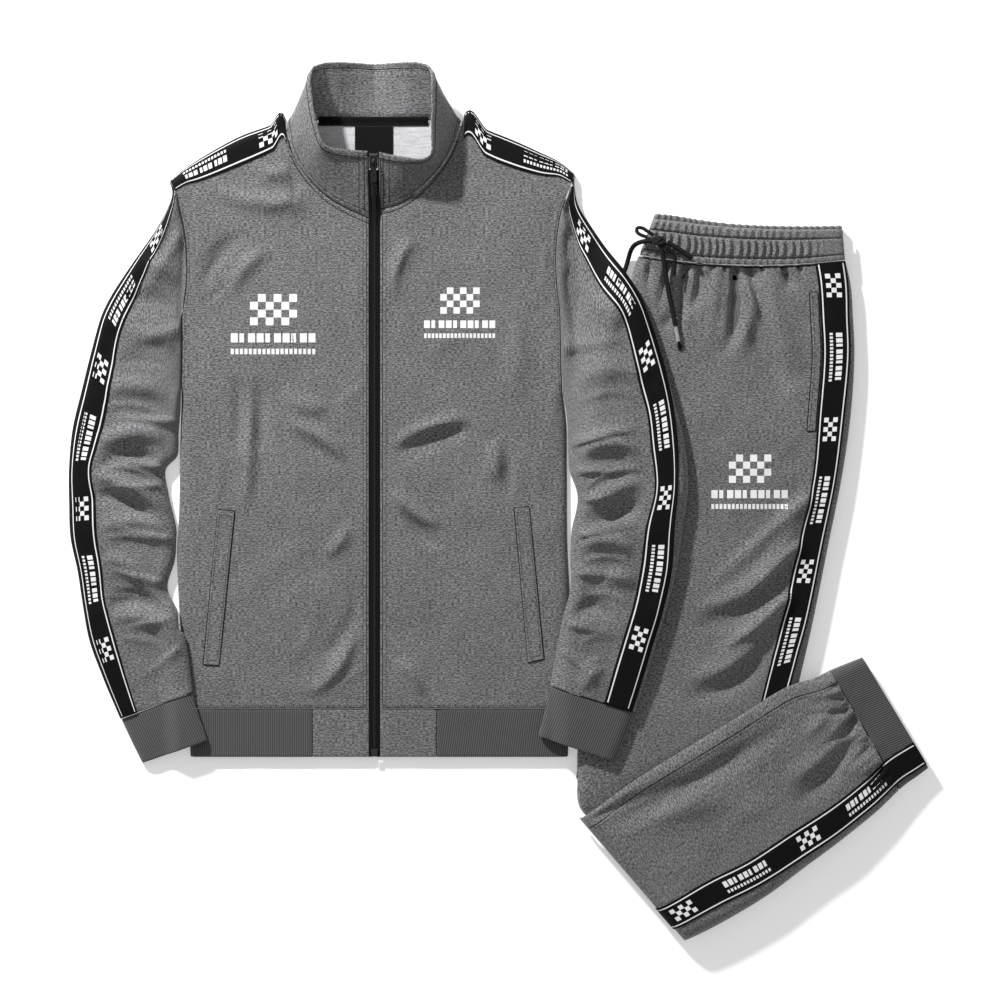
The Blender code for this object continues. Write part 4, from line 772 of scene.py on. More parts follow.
SLEEVE_CREASES = [
    (-262, 196, -220, 178, 4, 3.6, 1.0), (-278, 128, -224, 120, 6, 3.6, 1.0),
    (-290, 80, -222, 76, 6, 4, -0.9), (-300, 30, -232, 24, 8, 3.6, 1.1),
    (-306, -2, -232, 4, 8, 3.2, 1.2), (-300, -36, -246, -44, 6, 3.0, 1.2),
    (-300, -70, -240, -100, 5, 3.2, 1.1), (-300, -112, -232, -118, 6, 3.4, 1.1),
    (-290, -146, -250, -166, 4, 3.2, 1.0), (-290, -172, -228, -186, 7, 3.2, -1.0),
    (-284, -222, -226, -236, 6, 5, 0.9), (228, 230, 228, 150, -4, 3.6, -1.0),
    (222, 36, 284, 44, 7, 4, 1.0), (222, -10, 286, 0, 10, 3.4, 1.2), (226, -60, 288, -34, 6, 3.2, 1.2),
    (232, -100, 286, -84, -3, 3.4, 1.1), (224, -140, 282, -140, 9, 3.4, 1.1),
    (226, -176, 280, -184, 8, 4, 1.0), (224, -228, 266, -222, 8, 4, 0.9), (222, -262, 252, -240, 3, 3.6, 0.9)]
LEG_CREASES = [
    (350, 180, 338, 110, 3, 3.4, 1.0), (372, 182, 362, 96, 6, 3.6, 1.0),
    (382, 184, 374, 120, 5, 3.4, -0.9), (412, 180, 404, 84, 8, 3.6, 1.0),
    (436, 180, 452, 120, -4, 4, 0.9), (410, 130, 450, 60, -6, 4.4, -0.9),
    (470, 184, 484, 140, -3, 3.6, 0.9), (450, -96, 362, -180, 16, 4, 1.1),
    (440, -130, 370, -196, 14, 5, -0.9), (430, -190, 360, -236, 8, 4, 1.0),
    (420, -240, 350, -280, 9, 4.4, 1.0), (470, 20, 410, -40, 10, 9, 1.0),
    (480, -20, 420, -90, 12, 9, -0.9), (380, 40, 390, -40, 6, 12, 0.9), (330, 100, 322, 30, 4, 8, 0.9)]
LOWER_CREASES = [
    (262, -440, 400, -360, -6, 4, 1.0), (530, -316, 476, -380, 6, 3.6, 1.1),
    (512, -296, 470, -340, 4, 3.4, 1.0), (500, -280, 478, -306, 2, 3.2, 1.0),
    (556, -348, 524, -374, 3, 3.4, 1.0), (310, -430, 380, -400, 6, 8, 0.8),
    (380, -440, 440, -400, 8, 10, 0.9), (300, -480, 360, -470, 4, 9, 0.7),
    (546, -320, 520, -338, 2, 3, 1.0), (520, -272, 500, -292, 2, 3, 0.9)]


def pleats(table, x, y):
    """Crisp pleats, deepest where they start and steep on one side. Columns: as folds, without bow."""
    total = np.zeros(np.broadcast(x, y).shape)
    for *ends, width, height in table:
        share, side = fold_place(*ends, x, y)
        fade = smoothstep(-0.12, 0.05, share) * np.clip(1 - share, 0, 1) ** 1.1
        total += height * fade * np.exp(-(side / np.where(side > 0, width, width * STEEP)) ** 2)
    return total


BODY_PLEATS = [
    (-206, 262, -196, 190, 5, -2.2), (-203, 216, -198, 150, 6, 1.8), (-92, 300, -150, 268, 7, 2.2),
    (-72, 276, -140, 238, 8, 2.0), (196, 250, 192, 168, 6, -2.2), (190, 214, 180, 140, 7, 1.8),
    (-10, -250, -60, -292, 6, 1.8), (10, -180, 60, -236, 6, 1.6), (88, 296, 140, 268, 7, -1.8),
    (-205, 60, -170, -30, 8, 1.8), (203, 60, 176, -40, 8, 1.8), (-8, 60, -60, 24, 7, 2.0)]
SLEEVE_PLEATS = [
    (214, 258, 222, 60, 12, -4.5), (-208, 240, -214, 120, 8, -2.4), (-218, 262, -250, 190, 7, 3.0),
    (-215, 222, -262, 140, 8, 2.6), (-216, 120, -290, 96, 8, 3.0),
    (-219, 18, -300, 22, 7, 3.6), (-234, -34, -304, -18, 6, 3.6), (-232, -52, -306, -56, 6, 3.2),
    (-222, -112, -300, -96, 7, 3.2), (-232, -160, -300, -142, 7, 3.0), (-219, -196, -286, -214, 7, 2.8),
    (-208, -226, -262, -270, 7, 2.4), (210, 236, 244, 150, 8, 3.0), (212, 190, 262, 110, 8, 2.6),
    (211, 96, 280, 104, 8, 2.6), (214, -10, 296, 12, 7, 3.6), (216, -40, 300, -36, 7, 3.4),
    (226, -70, 292, -66, 6, 3.2), (218, -110, 288, -96, 6, 3.2), (216, -150, 282, -154, 7, 3.0),
    (208, -206, 270, -216, 7, 2.8), (202, -232, 248, -272, 7, 2.4)]
LEG_PLEATS = [
    (300, 188, 296, 128, 4, -2.6), (322, 191, 306, 122, 5, -3.4), (341, 190, 330, 112, 6, -3.8),
    (356, 189, 352, 158, 3.5, -2.8), (371, 189, 366, 168, 3, -2.4), (383, 189, 386, 168, 3, -2.6),
    (396, 189, 392, 88, 9, -5.0), (408, 189, 448, 62, 9, -3.6), (424, 189, 424, 172, 3, -2.4),
    (446, 189, 464, 150, 4, -3.0), (462, 191, 478, 158, 4, -2.6), (404, 189, 384, 150, 5, 2.4),
    (470, -70, 352, -176, 12, 3.4), (462, -120, 368, -214, 11, 3.2), (452, -176, 352, -262, 10, 3.0)]
LOWER_PLEATS = [
    (509, -278, 470, -286, 4, 2.8), (518, -300, 470, -304, 5, -2.8), (526, -308, 468, -360, 8, -4.4),
    (532, -322, 496, -344, 5, 2.6), (542, -338, 512, -372, 6, -3.6), (551, -352, 528, -372, 4, 2.4),
    (556, -364, 536, -382, 4, -2.2), (560, -376, 546, -390, 3, 2.0), (228, -420, 352, -372, 11, -3.6)]


def front_surface(sign, x, y):
    """Height of a front panel's cloth, with its small creases."""
    calm = smoothstep(6, 20, np.abs(x)) * smoothstep(3, 16, inside_side(sign, x, y))
    calm = calm * smoothstep(2, 20, below_shoulder(sign, x, y)) * smoothstep(HEM_SEAM_Y, HEM_SEAM_Y + 10, y)
    small = 1.5 * relief(BODY_CREASES, x, y) + rumple(x, y, 11, 1.3) + pleats(BODY_PLEATS, x, y)
    return front_height(sign, x, y, FRONT_DEEPER) + small * calm


def front_points(sign):
    widest = abs(top_of(sign)[-1][0])
    marks = np.concatenate([np.arange(ZIP_SIDE, NECK_POINT - 1, CLOTH_FINE),
                            np.arange(NECK_POINT, widest - 6, CLOTH_FINE),
                            widest - np.array([5.0, 3.2, 1.8, 0.8, 0.2, 0.0])])
    across = (marks - ZIP_SIDE) / (widest - ZIP_SIDE)
    tape = through(*np.array(SHOULDER_TAPE, float).T, marks * 225 / widest)
    top = top_y(top_of(sign), sign * marks)
    on_tape = np.linspace(0, 1, 13) ** 1.6
    below = np.linspace(0, 1, 190)[1:]
    rows = [top - share * tape for share in on_tape]
    rows += [(top - tape) + share * (HEM_SEAM_Y + SEAM - top + tape) for share in below]
    y = np.array(rows)
    side = np.abs(edge_x(side_of(sign), y[:, -1]))
    x = sign * (ZIP_SIDE + across[None, :] * (side[:, None] - ZIP_SIDE))
    grid = np.dstack([x, y, front_surface(sign, x, y)])
    neck = int(np.argmax(marks >= NECK_POINT))
    return grid, neck, len(on_tape)


def add_front(sign, word):
    grid, neck, tape_rows = front_points(sign)
    uv = np.dstack([np.abs(grid[..., 0]), grid[..., 1]])
    turned = slice(None, None, sign)

    def over_back(x, y):
        return (BACK_TOP + 0.1) * (inside_side(sign, x, y) > 3.9) * (np.abs(x) < 215)

    piece = add_cloth(f"cloth_front_{word}", grid[:, turned], uv[:, turned], WALL, [JERSEY, JERSEY_INSIDE],
                      [f"front_{word}"], floor=over_back)
    strip = grid[:tape_rows, neck:].transpose(1, 0, 2)[:, ::-sign]
    add_tape(f"tape_shoulder_{word}", strip, [f"shoulder_tape_{word}"], 30.0,
             -0.17 * sign)


def sleeve_rings(sign, table, t, tape):
    """Rings of a sleeve or cuff as in the solids, with finer columns and small creases."""
    rows = at(table, t)
    width = np.linalg.norm(rows[:, 2:4] - rows[:, 0:2], axis=1)[:, None]
    if tape:
        near, far = rows[:, 5:6], rows[:, 6:7]
        first = [near * 0, near * 0.5] + [near + (far - near) * s for s in np.linspace(0, 1, 13) ** 1.25]
    else:
        far = width * 0 + SLEEVE_ROLL
        first = [far * s for s in np.linspace(0, 1, 8) ** 1.5]
    last = [width - SLEEVE_ROLL * s for s in (0.75, 0.5, 0.3, 0.14, 0.04, 0.0)]
    middle = [far + (width - SLEEVE_ROLL - far) * s for s in np.linspace(0, 1, 26)[1:]]
    top = np.hstack(first + middle + last)
    under = np.hstack([width - 1.2, width - 3] + [width * s for s in np.linspace(1, 0, 26)[1:-1]]
                      + [width * 0 + 3, width * 0 + 1.2])
    x, y = sleeve_line(sign, table, t, top)
    base = ground(sign, x, y)
    z = base + SLEEVE_EDGE + ((rows[:, 4:5] - SLEEVE_EDGE) * roll(top, SLEEVE_ROLL)
                              * roll(width - top, SLEEVE_ROLL))
    free = smoothstep(0, 12, width - top) * smoothstep(0, 16, top)
    if tape:
        calm = smoothstep(0, 26, width - top) * smoothstep(0, 30, top)
        calm = calm * (smoothstep(0, 0.05, t) * smoothstep(1.0, 0.97, t))[:, None]
        small = 2.25 * relief(SLEEVE_CREASES, x, y) + 1.5 * rumple(x, y, 23, 1.6)
        small = small + 2.3 * pleats(SLEEVE_PLEATS, x, y)
        z = z + 2.3 * relief(SLEEVE_FOLDS, x, y) * calm + small * free * calm ** 0.3
        z = np.maximum(z, base + 2 * WALL + 0.4)
    else:
        z = z + rumple(x, y, 29, 0.4) * free
    below_x, below_y = sleeve_line(sign, table, t, under)
    below_z = ground(sign, below_x, below_y)
    ring = np.dstack([np.hstack([x, below_x]), np.hstack([y, below_y]), np.hstack([z, below_z])])
    return ring[:, ::-sign], section_uv(rows, np.hstack([top, 2 * width - under]))[:, ::-sign]


def add_sleeve(sign, table, word):
    t = np.concatenate([[0, 0.006, 0.014], np.linspace(0.02, 1, 210)])
    ring, uv = sleeve_rings(sign, table, t, True)
    piece = add_cloth(f"cloth_sleeve_{word}", ring, uv, WALL, [JERSEY, JERSEY_INSIDE],
                      [f"sleeve_{word}"], wrap=True)
    strip = ring[:, -15:-2] if sign > 0 else ring[:, 2:15]
    add_tape(f"tape_sleeve_{word}", strip, [f"sleeve_tape_{word}"], 62.0,
             -0.15 * sign)


def add_cuff(sign, table, word):
    ring, uv = sleeve_rings(sign, table, np.linspace(0, 1, 30), False)
    piece = add_cloth(f"rib_cuff_{word}", ring, uv, RIB_WALL, [RIB], [f"cuff_{word}"], wrap=True)


def add_back():
    """Back panel; its pale inside shows through the neck."""
    inset = 4.4
    marks = np.concatenate([np.linspace(-222, -97, 40), np.linspace(-93, 93, 60), np.linspace(97, 216, 40)])
    seam = np.where(marks < 0, top_y(TOP_RIGHT, marks), top_y(TOP_LEFT, marks))
    dip = 14 * np.exp(-((np.abs(marks) - 97) / 8) ** 2)
    top = np.where(np.abs(marks) < 90, BACK_NECK_Y - 1.5, seam - inset * 2.6 - dip)
    rows = []
    for share in np.linspace(0, 1, 120) ** 1.3:
        y = top + share * (HEM_SEAM_Y + SEAM - top)
        tucked = 2.8 + (inset - 2.8) * np.maximum(closed_side(y), smoothstep(230, 280, y))
        low = edge_x(SIDE_RIGHT, y) + tucked
        high = edge_x(SIDE_LEFT, y) - tucked
        x = low + (marks - marks[0]) / (marks[-1] - marks[0]) * (high - low)
        x = x + (marks - x) * np.clip(1 - share / 0.25, 0, 1)
        rows.append(np.column_stack([np.clip(x, low, high), y, np.full_like(y, BACK_TOP)]))
    grid = np.array(rows)
    grid[..., 2] -= 0.3 * (0.5 + 0.5 * lattice_noise(grid[..., 0], grid[..., 1], 16, 3))
    piece = add_cloth("cloth_back", grid, grid[..., :2], 1.6, [JERSEY_INSIDE, JERSEY],
                      ["back_panel"])


def hem_side(edge, sign, y):
    """Upper half of the hem on one side, from the block to the fold: x and z."""
    turn = BODY_ROLL * np.linspace(1, 0, 9)[1:] ** 1.6
    from_centre = np.concatenate([np.linspace(BLOCK_X, edge - BODY_ROLL, 60), edge - turn])
    z = SLEEVE_EDGE + (HEM_TOP - SLEEVE_EDGE) * roll(edge - from_centre, BODY_ROLL)
    z = z + rumple(sign * from_centre, y, 31, 0.45) * smoothstep(0, 12, edge - from_centre)
    return sign * from_centre, z


def add_hem():
    """Rib hem band with its folded sides, and the two blocks of jersey beside the zip."""
    levels = np.linspace(HEM_SEAM_Y - SEAM, HEM_Y, 26)
    rows = []
    around = []
    for y in levels:
        low, high = float(edge_x(SIDE_RIGHT, y)), float(edge_x(SIDE_LEFT, y))
        right, right_z = hem_side(-low, -1, y)
        left, left_z = hem_side(high, 1, y)
        under = np.concatenate([[low + 1.2], np.linspace(low + 3, high - 3, 60), [high - 1.2]])
        x = np.concatenate([right, under, left[::-1]])
        z = np.concatenate([right_z, np.zeros_like(under), left_z[::-1]])
        rows.append(np.column_stack([x, np.full_like(x, y), z]))
        around.append(travelled(x[:, None]))
    grid = np.array(rows)[:, ::-1]
    uv = np.dstack([np.array(around)[:, ::-1], grid[..., 1]])
    piece = add_cloth("rib_hem", grid, uv, RIB_WALL, [RIB], ["hem_rib"])
    for sign, word in SIDES:
        x, y = np.meshgrid(np.sort(sign * np.linspace(ZIP_SIDE, BLOCK_X - SEAM, 24)), levels)
        block = add_cloth(f"hem_block_cloth_{word}", np.dstack([x, y, HEM_TOP + rumple(x, y, 37, 0.4)]),
                          np.dstack([x, y]), RIB_WALL, [JERSEY], [f"hem_block_{word}"])


def collar_grid(columns, rows):
    """Outer points of the collar; the columns run from zip to zip, the rows from seam to rim."""
    table = np.array(COLLAR, float)
    places = travelled(table[:, 0:2] + table[:, 3:5])
    stations = through(places / places[-1], table, columns)
    inward = (0.0, 300.0) - stations[:, 0:2]
    inward = inward / np.linalg.norm(inward, axis=1, keepdims=True)
    inward[:, 1] = np.where(stations[:, 1] > 340, 0.2, inward[:, 1])
    seam = stations[:, 0:2] + inward * 1.2
    seam_z = stations[:, 2].copy()
    for sign, _ in SIDES:
        x = sign * np.clip(sign * seam[:, 0], ZIP_SIDE, 96)
        mine = (sign * seam[:, 0] > 5) & (stations[:, 1] < 346)
        edge = top_y(top_of(sign), x)
        slope = (top_y(top_of(sign), x + 1) - top_y(top_of(sign), x - 1)) / 2
        seam[:, 1] = np.where(mine, edge + 0.7 * np.sqrt(1 + slope ** 2), seam[:, 1])
        seam_z = np.where(mine, front_height(sign, x, edge - 1.5), seam_z)
    share = rows[:, None]
    plan = seam + (stations[:, 3:5] - seam) * share[..., None]
    low_rim = np.minimum(stations[:, 5], 16 + 30 * np.abs(stations[:, 0]) / 97)
    rim_z = np.where(stations[:, 1] > 346, low_rim, stations[:, 5])
    return np.dstack([plan, seam_z + (rim_z - seam_z) * share ** np.minimum(stations[:, 6], 1.05)])


def add_collar():
    columns, rows = 210, 30
    grid = collar_grid(np.linspace(0, 1, columns), np.linspace(0, 1, rows))
    u, v = np.broadcast_arrays(travelled(grid[-1]), np.linspace(0, 62, rows)[:, None])
    wobble = rumple(u, v, 41, 1.6) * smoothstep(0, 8, v) + np.exp(-((v - 57) / 3.5) ** 2)
    wobble = wobble + 0.9 * np.exp(-((v - 4) / 2.2) ** 2)
    fade = smoothstep(0, 14, u) * smoothstep(0, 14, u.max() - u)
    grid = grid + normals(grid) * (wobble * fade)[..., None]
    # The under side takes the lighter copy of the collar cloth: painted light.
    piece = add_cloth("cloth_collar", grid, np.dstack([u, v]), COLLAR_WALL, [COLLAR_CLOTH, COLLAR_INSIDE_PAINTED_LIGHT],
                      ["collar"])
    normal = normals(grid)
    rim = rows - 4
    # Dark lines here are painted shade: along the rim's stitching inside and out, near the neck seam, and at
    # each zip end.
    for row, lift, width in ((rim, 0.12, 0.9), (3, 0.12, 0.6), (rim, -COLLAR_WALL - 0.12, 0.9)):
        SHADE_LINES.line(grid[row] + normal[row] * lift, width)
    for lift in (0.15, -COLLAR_WALL - 0.15):
        STITCHES.stitch(grid[rim - 1] + normal[rim - 1] * lift)
    for column in (2, 5, columns - 6, columns - 3):
        SHADE_LINES.line(grid[1:-1, column] + normal[1:-1, column] * 0.12, 0.6)


# Columns: y and z along the top of the zip, hem to the collar's rim.
ZIP_LINE = np.array([(HEM_Y, 7.6), (FRONT_NECK_Y - 8, 7.6), (FRONT_NECK_Y + 8, 10.8), (262, 16.4),
                     (280, 23.6), (292, 28.4), (307, 34.4)])


def add_teeth(path, places):
    """Zip teeth, from one side and the other by turns."""
    points = []
    faces = []
    for index, along in enumerate(np.arange(11.0, places[-1], TOOTH_PITCH)):
        y, z = [np.interp(along, places, path[:, k]) for k in range(2)]
        slope = 0.38 if y > FRONT_NECK_Y else 0.0
        side = 1 if index % 2 else -1
        faces += (np.array(TOOTH_FACES) + len(points)).tolist()
        for dx in sorted((side * -0.5, side * 2.0)):
            for dy, dz in ((-0.62, 0.0), (0.62, 0.0), (0.372, 0.75), (-0.372, 0.75)):
                points.append((dx, y + dy * np.cos(slope) - dz * np.sin(slope),
                               z + dy * np.sin(slope) + dz * np.cos(slope)))
    finish_piece(mesh_object("zip_teeth", points, faces, smooth=False), [ZIP_TEETH], ())


def add_zip():
    path = np.vstack([ZIP_LINE[:5], (290, 27.6)])
    places = travelled(path)
    add_teeth(path, places)
    repaint("zip_chain", ZIP_TAPE)
    for name in ("zip_slider", "zip_pull", "zip_box"):
        repaint(name, ZIP_METAL)
    along = np.interp(np.linspace(0, places[-1], 220), places, path[:, 0])[::-1]
    y = np.concatenate([np.linspace(307, 286, 16), along[4:]])[:, None]
    z = np.interp(y, *ZIP_LINE.T) - 0.3
    near = CHAIN + 0.08 + 2.3 * smoothstep(290.2, 291.2, y)
    x = near + (ZIP_SIDE - 0.1 - near) * np.linspace(0, 1, 4)
    for sign, word in SIDES:
        grid = np.dstack(np.broadcast_arrays(sign * x[:, ::sign], y, z))
        add_cloth(f"zip_cloth_{word}", grid, grid[..., :2], TAPE, [ZIP_CLOTH], [f"zip_tape_{word}"])


def repaint(name, material):
    """Give a rigid CAD node a better finish."""
    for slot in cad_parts[name].material_slots:
        slot.material = material


def add_neck_pieces():
    """Tape over the back neck seam, and the plain label below it."""
    x, y = np.meshgrid(np.linspace(-62, 59, 60), np.linspace(353.0, 343.2, 7))
    tape_grid = np.dstack([x, y, 3.3 + 1.5 * (y - 343.2) / 9.8])
    tape = add_cloth("tape_neck", tape_grid, np.dstack([y * 0 + 5, x]), TAPE, [TAPE_BLACK],
                     ["neck_tape"])
    for edge in (1, 5):
        STITCHES.stitch(tape_grid[edge] + (0, 0, 0.12))
    x, y = np.meshgrid(np.linspace(-22, 20, 24), np.linspace(342.7, 310, 20))
    z = BACK_TOP + LIE + 0.8 + 0.15 * lattice_noise(x, y, 9, 5)
    label = add_cloth("label_neck", np.dstack([x, y, z]), np.dstack([x, y]), 0.8, [TAPE_BLACK],
                      ["neck_label"])


def add_welt(word, sign, corners):
    """Pocket welt between four corners: the upper end's two, then the lower end's."""
    corners = np.array(corners, float)
    v, u = np.meshgrid(np.linspace(0, 1, 70), np.linspace(0, 1, 9), indexing="ij")
    s, t = u[..., None], v[..., None]
    plan = (1 - t) * ((1 - s) * corners[0] + s * corners[1]) + t * ((1 - s) * corners[2] + s * corners[3])
    outer = np.dstack([plan, front_surface(sign, plan[..., 0], plan[..., 1])])
    piece = add_cloth(f"welt_cloth_{word}", outer, np.dstack([u * 17 + 400, -v * 170]), 1.3, [JERSEY],
                      [f"welt_{word}"], clear=0.5)
    lay(outer)
    lift = outer + normals(outer) * 1.95
    for path in (lift[2:-2, 1], lift[2:-2, -2], lift[-3, 1:-1], lift[2, 1:-1]):
        STITCHES.stitch(path)
    outline = np.vstack([outer[:, 0], outer[-1], outer[::-1, -1], outer[0, ::-1]])
    # Dark outline of painted shade in the gap round the welt.
    SHADE_LINES.line(outline + (outline - outline.mean(axis=0)) * (0.05, 0.006, 0) + (0, 0, 0.25), 0.9)


def leg_beyond_sleeve(x, y):
    """1 where the upper leg shows, 0 under the wearer's left sleeve."""
    return smoothstep(4, 22, x - edge_x(SLEEVE_LEFT, y))


def upper_leg_points(t):
    rows = at(UPPER_LEG, t)
    left, right = rows[:, None, 0:2], rows[:, None, 2:4]
    width = np.linalg.norm(right - left, axis=2)
    near, far = rows[:, 4:5], rows[:, 5:6]
    welt = width - far - 10
    edge = [width * 0 + LEG_ROLL * s for s in np.linspace(0, 1, 8) ** 1.6]
    middle = [LEG_ROLL + (welt - LEG_ROLL) * s for s in np.linspace(0, 1, 60)[1:]]
    beside = [welt + 8.5 * s for s in (0.25, 0.5, 0.75, 1)]
    tape = [width - far + (far - near) * s for s in np.linspace(0, 1, 13)]
    last = [width - near * s for s in (0.6, 0.3, 0.1, 0)]
    d = np.hstack(edge + middle + beside + tape + last)
    plan = left + (right - left) * (d / width)[..., None]
    x, y = plan[..., 0], plan[..., 1]
    seam = np.array(BAND, float)
    x0, y0, x1, y1 = UPPER_LEG[0][:4]
    straight = y0 + (x - x0) / (x1 - x0) * (y1 - y0)
    bend = np.clip(1 - t / 0.12, 0, 1)[:, None] ** 2
    y = y + bend * (through(seam[:, 2], seam[:, 3], x) - 0.8 - straight)
    t = t[:, None]
    shows = leg_beyond_sleeve(x, y)
    crown = roll(d, LEG_ROLL) * roll(width - d, LEG_ROLL) * (1 - 0.25 * smoothstep(0.95, 1, t))
    calm = smoothstep(0, 22, d) * smoothstep(14, 44, width - d) * shows
    calm = calm * smoothstep(1.0, 0.86, t) * smoothstep(0, 0.02, t)
    free = smoothstep(0, 16, d) * smoothstep(8, 26, width - d) * shows
    z = LAYER_TOP + (LEG_TOP - LAYER_TOP) * crown + (1 + LEG_DEEPER) * relief(LEG_FOLDS, x, y) * calm
    small = 1.4 * relief(LEG_CREASES, x, y) + rumple(x, y, 53, 1.6) + 2.9 * pleats(LEG_PLEATS, x, y)
    z = z + small * free * (0.35 + 0.65 * smoothstep(1.0, 0.9, t))
    start = len(edge) + len(middle) + len(beside)
    return np.dstack([x, y, z]), section_uv(rows, d), slice(start, start + len(tape))


def add_upper_leg():
    t = np.concatenate([[0.0, 0.004, 0.009], np.linspace(0.014, 1, 200)])
    grid, uv, tape = upper_leg_points(t)
    piece = add_cloth("cloth_upper_leg", grid, uv, WALL, [JERSEY], ["upper_leg"], floor=LAYER_TOP)
    add_tape("tape_upper_leg", grid[:, tape], ["leg_tape_upper"], 26.0)
    level = grid[:, tape.start, 1]
    rows = np.nonzero((level < 160) & (level > 6))[0]
    part = slice(rows[0], rows[-1] + 1), slice(tape.start - 5, tape.start)
    strip = grid[part]
    welt = add_cloth("welt_cloth_leg", strip, uv[part] + (300, 0), 1.2, [JERSEY], ["leg_welt"],
                     clear=0.3)
    lift = strip + normals(grid)[part] * 1.65
    for path in (lift[2:-2, 1], lift[-3, :4], lift[2, :4]):
        STITCHES.stitch(path)
    # Dark lines of painted shade: along the waist seam and round the welt.
    for path, shift, width in ((grid[1, 2:-2], (0, 0, 0.2), 1.3), (strip[:, 0], (-0.7, 0, 0.25), 0.9),
                               (strip[:, -1], (0.3, 0, 0.4), 1.0), (strip[0], (0, 0.8, 0.3), 0.8),
                               (strip[-1], (0, -0.8, 0.3), 0.8)):
        SHADE_LINES.line(path + shift, width)


def lower_leg_points(t):
    rows = at(LOWER_LEG, t)
    top, bottom = rows[:, None, 0:2], rows[:, None, 2:4]
    width = np.linalg.norm(bottom - top, axis=2)
    near, far = rows[:, 6:7], rows[:, 7:8]
    edge = [width * 0 + 11 * s for s in np.linspace(0, 1, 8) ** 1.6]
    middle = [11 + (width - far - 11) * s for s in np.linspace(0, 1, 40)[1:-1]]
    tape = [width - far + (far - near) * s for s in np.linspace(0, 1, 13)]
    last = [width - near * s for s in (0.8, 0.6, 0.42, 0.26, 0.12, 0.03, 0)]
    d = np.hstack(edge + middle + tape + last)
    plan = top + (bottom - top) * (d / width)[..., None]
    x, y = plan[..., 0], plan[..., 1]
    t = t[:, None]
    height, top_edge = rows[:, 4:5], rows[:, 5:6]
    lip = top_edge + (height - top_edge) * roll(d, 11)
    z = LAYER_TOP + (lip - LAYER_TOP) * roll(width - d, LEG_ROLL) * (0.25 + 0.75 * roll(t * 420, 16))
    calm = smoothstep(4, 26, d) * smoothstep(far, far + 14, width - d)
    calm = calm * smoothstep(0.04, 0.12, t) * smoothstep(1.0, 0.95, t)
    free = smoothstep(2, 14, d) * smoothstep(6, 22, width - d) * smoothstep(0.01, 0.05, t)
    on_leg = smoothstep(ANKLE_SEAM + 0.004, ANKLE_SEAM - 0.01, t)
    small = 1.4 * relief(LOWER_CREASES, x, y) + 2.3 * pleats(LOWER_PLEATS, x, y)
    share = d / width
    pucker = 1.5 * np.cos(2 * np.pi * PUCKERS * (share + 0.02 * np.sin(9 * share)))
    pucker = pucker * np.exp(-((t - ANKLE_SEAM + 0.012) / 0.022) ** 2)
    z = z + (1 + LEG_DEEPER) * relief(LOWER_FOLDS, x, y) * calm
    z = z + ((small + pucker) * on_leg + rumple(x, y, 61, 1.3)) * free
    start = len(edge) + len(middle)
    return np.dstack([x, y, z]), section_uv(rows, d), slice(start, start + len(tape))


def add_lower_leg():
    leg_t = np.concatenate([[0, 0.003, 0.007], np.linspace(0.012, ANKLE_SEAM, 120)])
    cuff_t = np.linspace(ANKLE_SEAM + 0.003, 1, 26)
    leg, leg_uv, _ = lower_leg_points(leg_t)
    cuff, cuff_uv, _ = lower_leg_points(cuff_t)
    piece = add_cloth("cloth_lower_leg", leg[:, ::-1], leg_uv[:, ::-1], WALL, [JERSEY],
                      ["lower_leg"], floor=LAYER_TOP)
    piece = add_cloth("rib_ankle", cuff[:, ::-1], cuff_uv[:, ::-1], RIB_WALL, [RIB], ["ankle_cuff"],
                      floor=LAYER_TOP)
    whole, _, tape = lower_leg_points(np.concatenate([leg_t, cuff_t[1:]]))
    add_tape("tape_lower_leg", whole[:, tape][:, ::-1], ["leg_tape_lower"], 30.0)
    # Dark line of painted shade along the seam near the top edge, beside a row of stitches.
    SHADE_LINES.line(leg[2:, 8] + (0, 0, 0.15), 0.9)
    STITCHES.stitch(leg[2:, 9] + (0, 0, 0.15))


def inset_loop(loop, distance):
    """Plan loop that runs anticlockwise, moved in by a distance."""
    ahead = np.roll(loop, -1, axis=0) - loop
    ahead = ahead / np.linalg.norm(ahead, axis=1, keepdims=True)
    side = np.column_stack([-ahead[:, 1], ahead[:, 0]])
    before = np.roll(side, 1, axis=0)
    spread = 1 + np.sum(side * before, axis=1, keepdims=True)
    return loop + (side + before) / np.maximum(spread, 0.5) * distance


def layered(name, loop, cap, stands_for):
    """Rounded stack of folded cloth: each layer bulges and the grooves between them are tight."""
    loop = even_loop(loop, 4)
    levels = [(0.0, 2.6)]
    high = STACK_TOP / 2
    for base in (0, high):
        levels += [(base + s * high, 0.8 + 2.2 * (2 * s - 1) ** 4) for s in np.linspace(0.08, 0.98, 9)]
    levels += [(STACK_TOP, 6.0), (STACK_TOP + 0.3 * (cap - STACK_TOP), 8.0), (cap, 13.0)]
    rings = np.array([np.column_stack([inset_loop(loop, inset), np.full(len(loop), z)])
                      for z, inset in levels])
    uv = np.dstack(np.broadcast_arrays(travelled(loop), rings[..., 2] * 2))
    capped_rings(name, rings[:, ::-1], uv[:, ::-1], stands_for)


def even_loop(loop, step):
    """The same loop, closed and anticlockwise, with points at an even spacing."""
    x, y = loop.T
    if np.sum(x * np.roll(y, -1) - np.roll(x, -1) * y) < 0:
        loop = loop[::-1]
    closed = np.vstack([loop, loop[:1]])
    places = travelled(closed)
    wanted = np.arange(0, places[-1], step)
    return np.column_stack([np.interp(wanted, places, closed[:, k]) for k in range(2)])


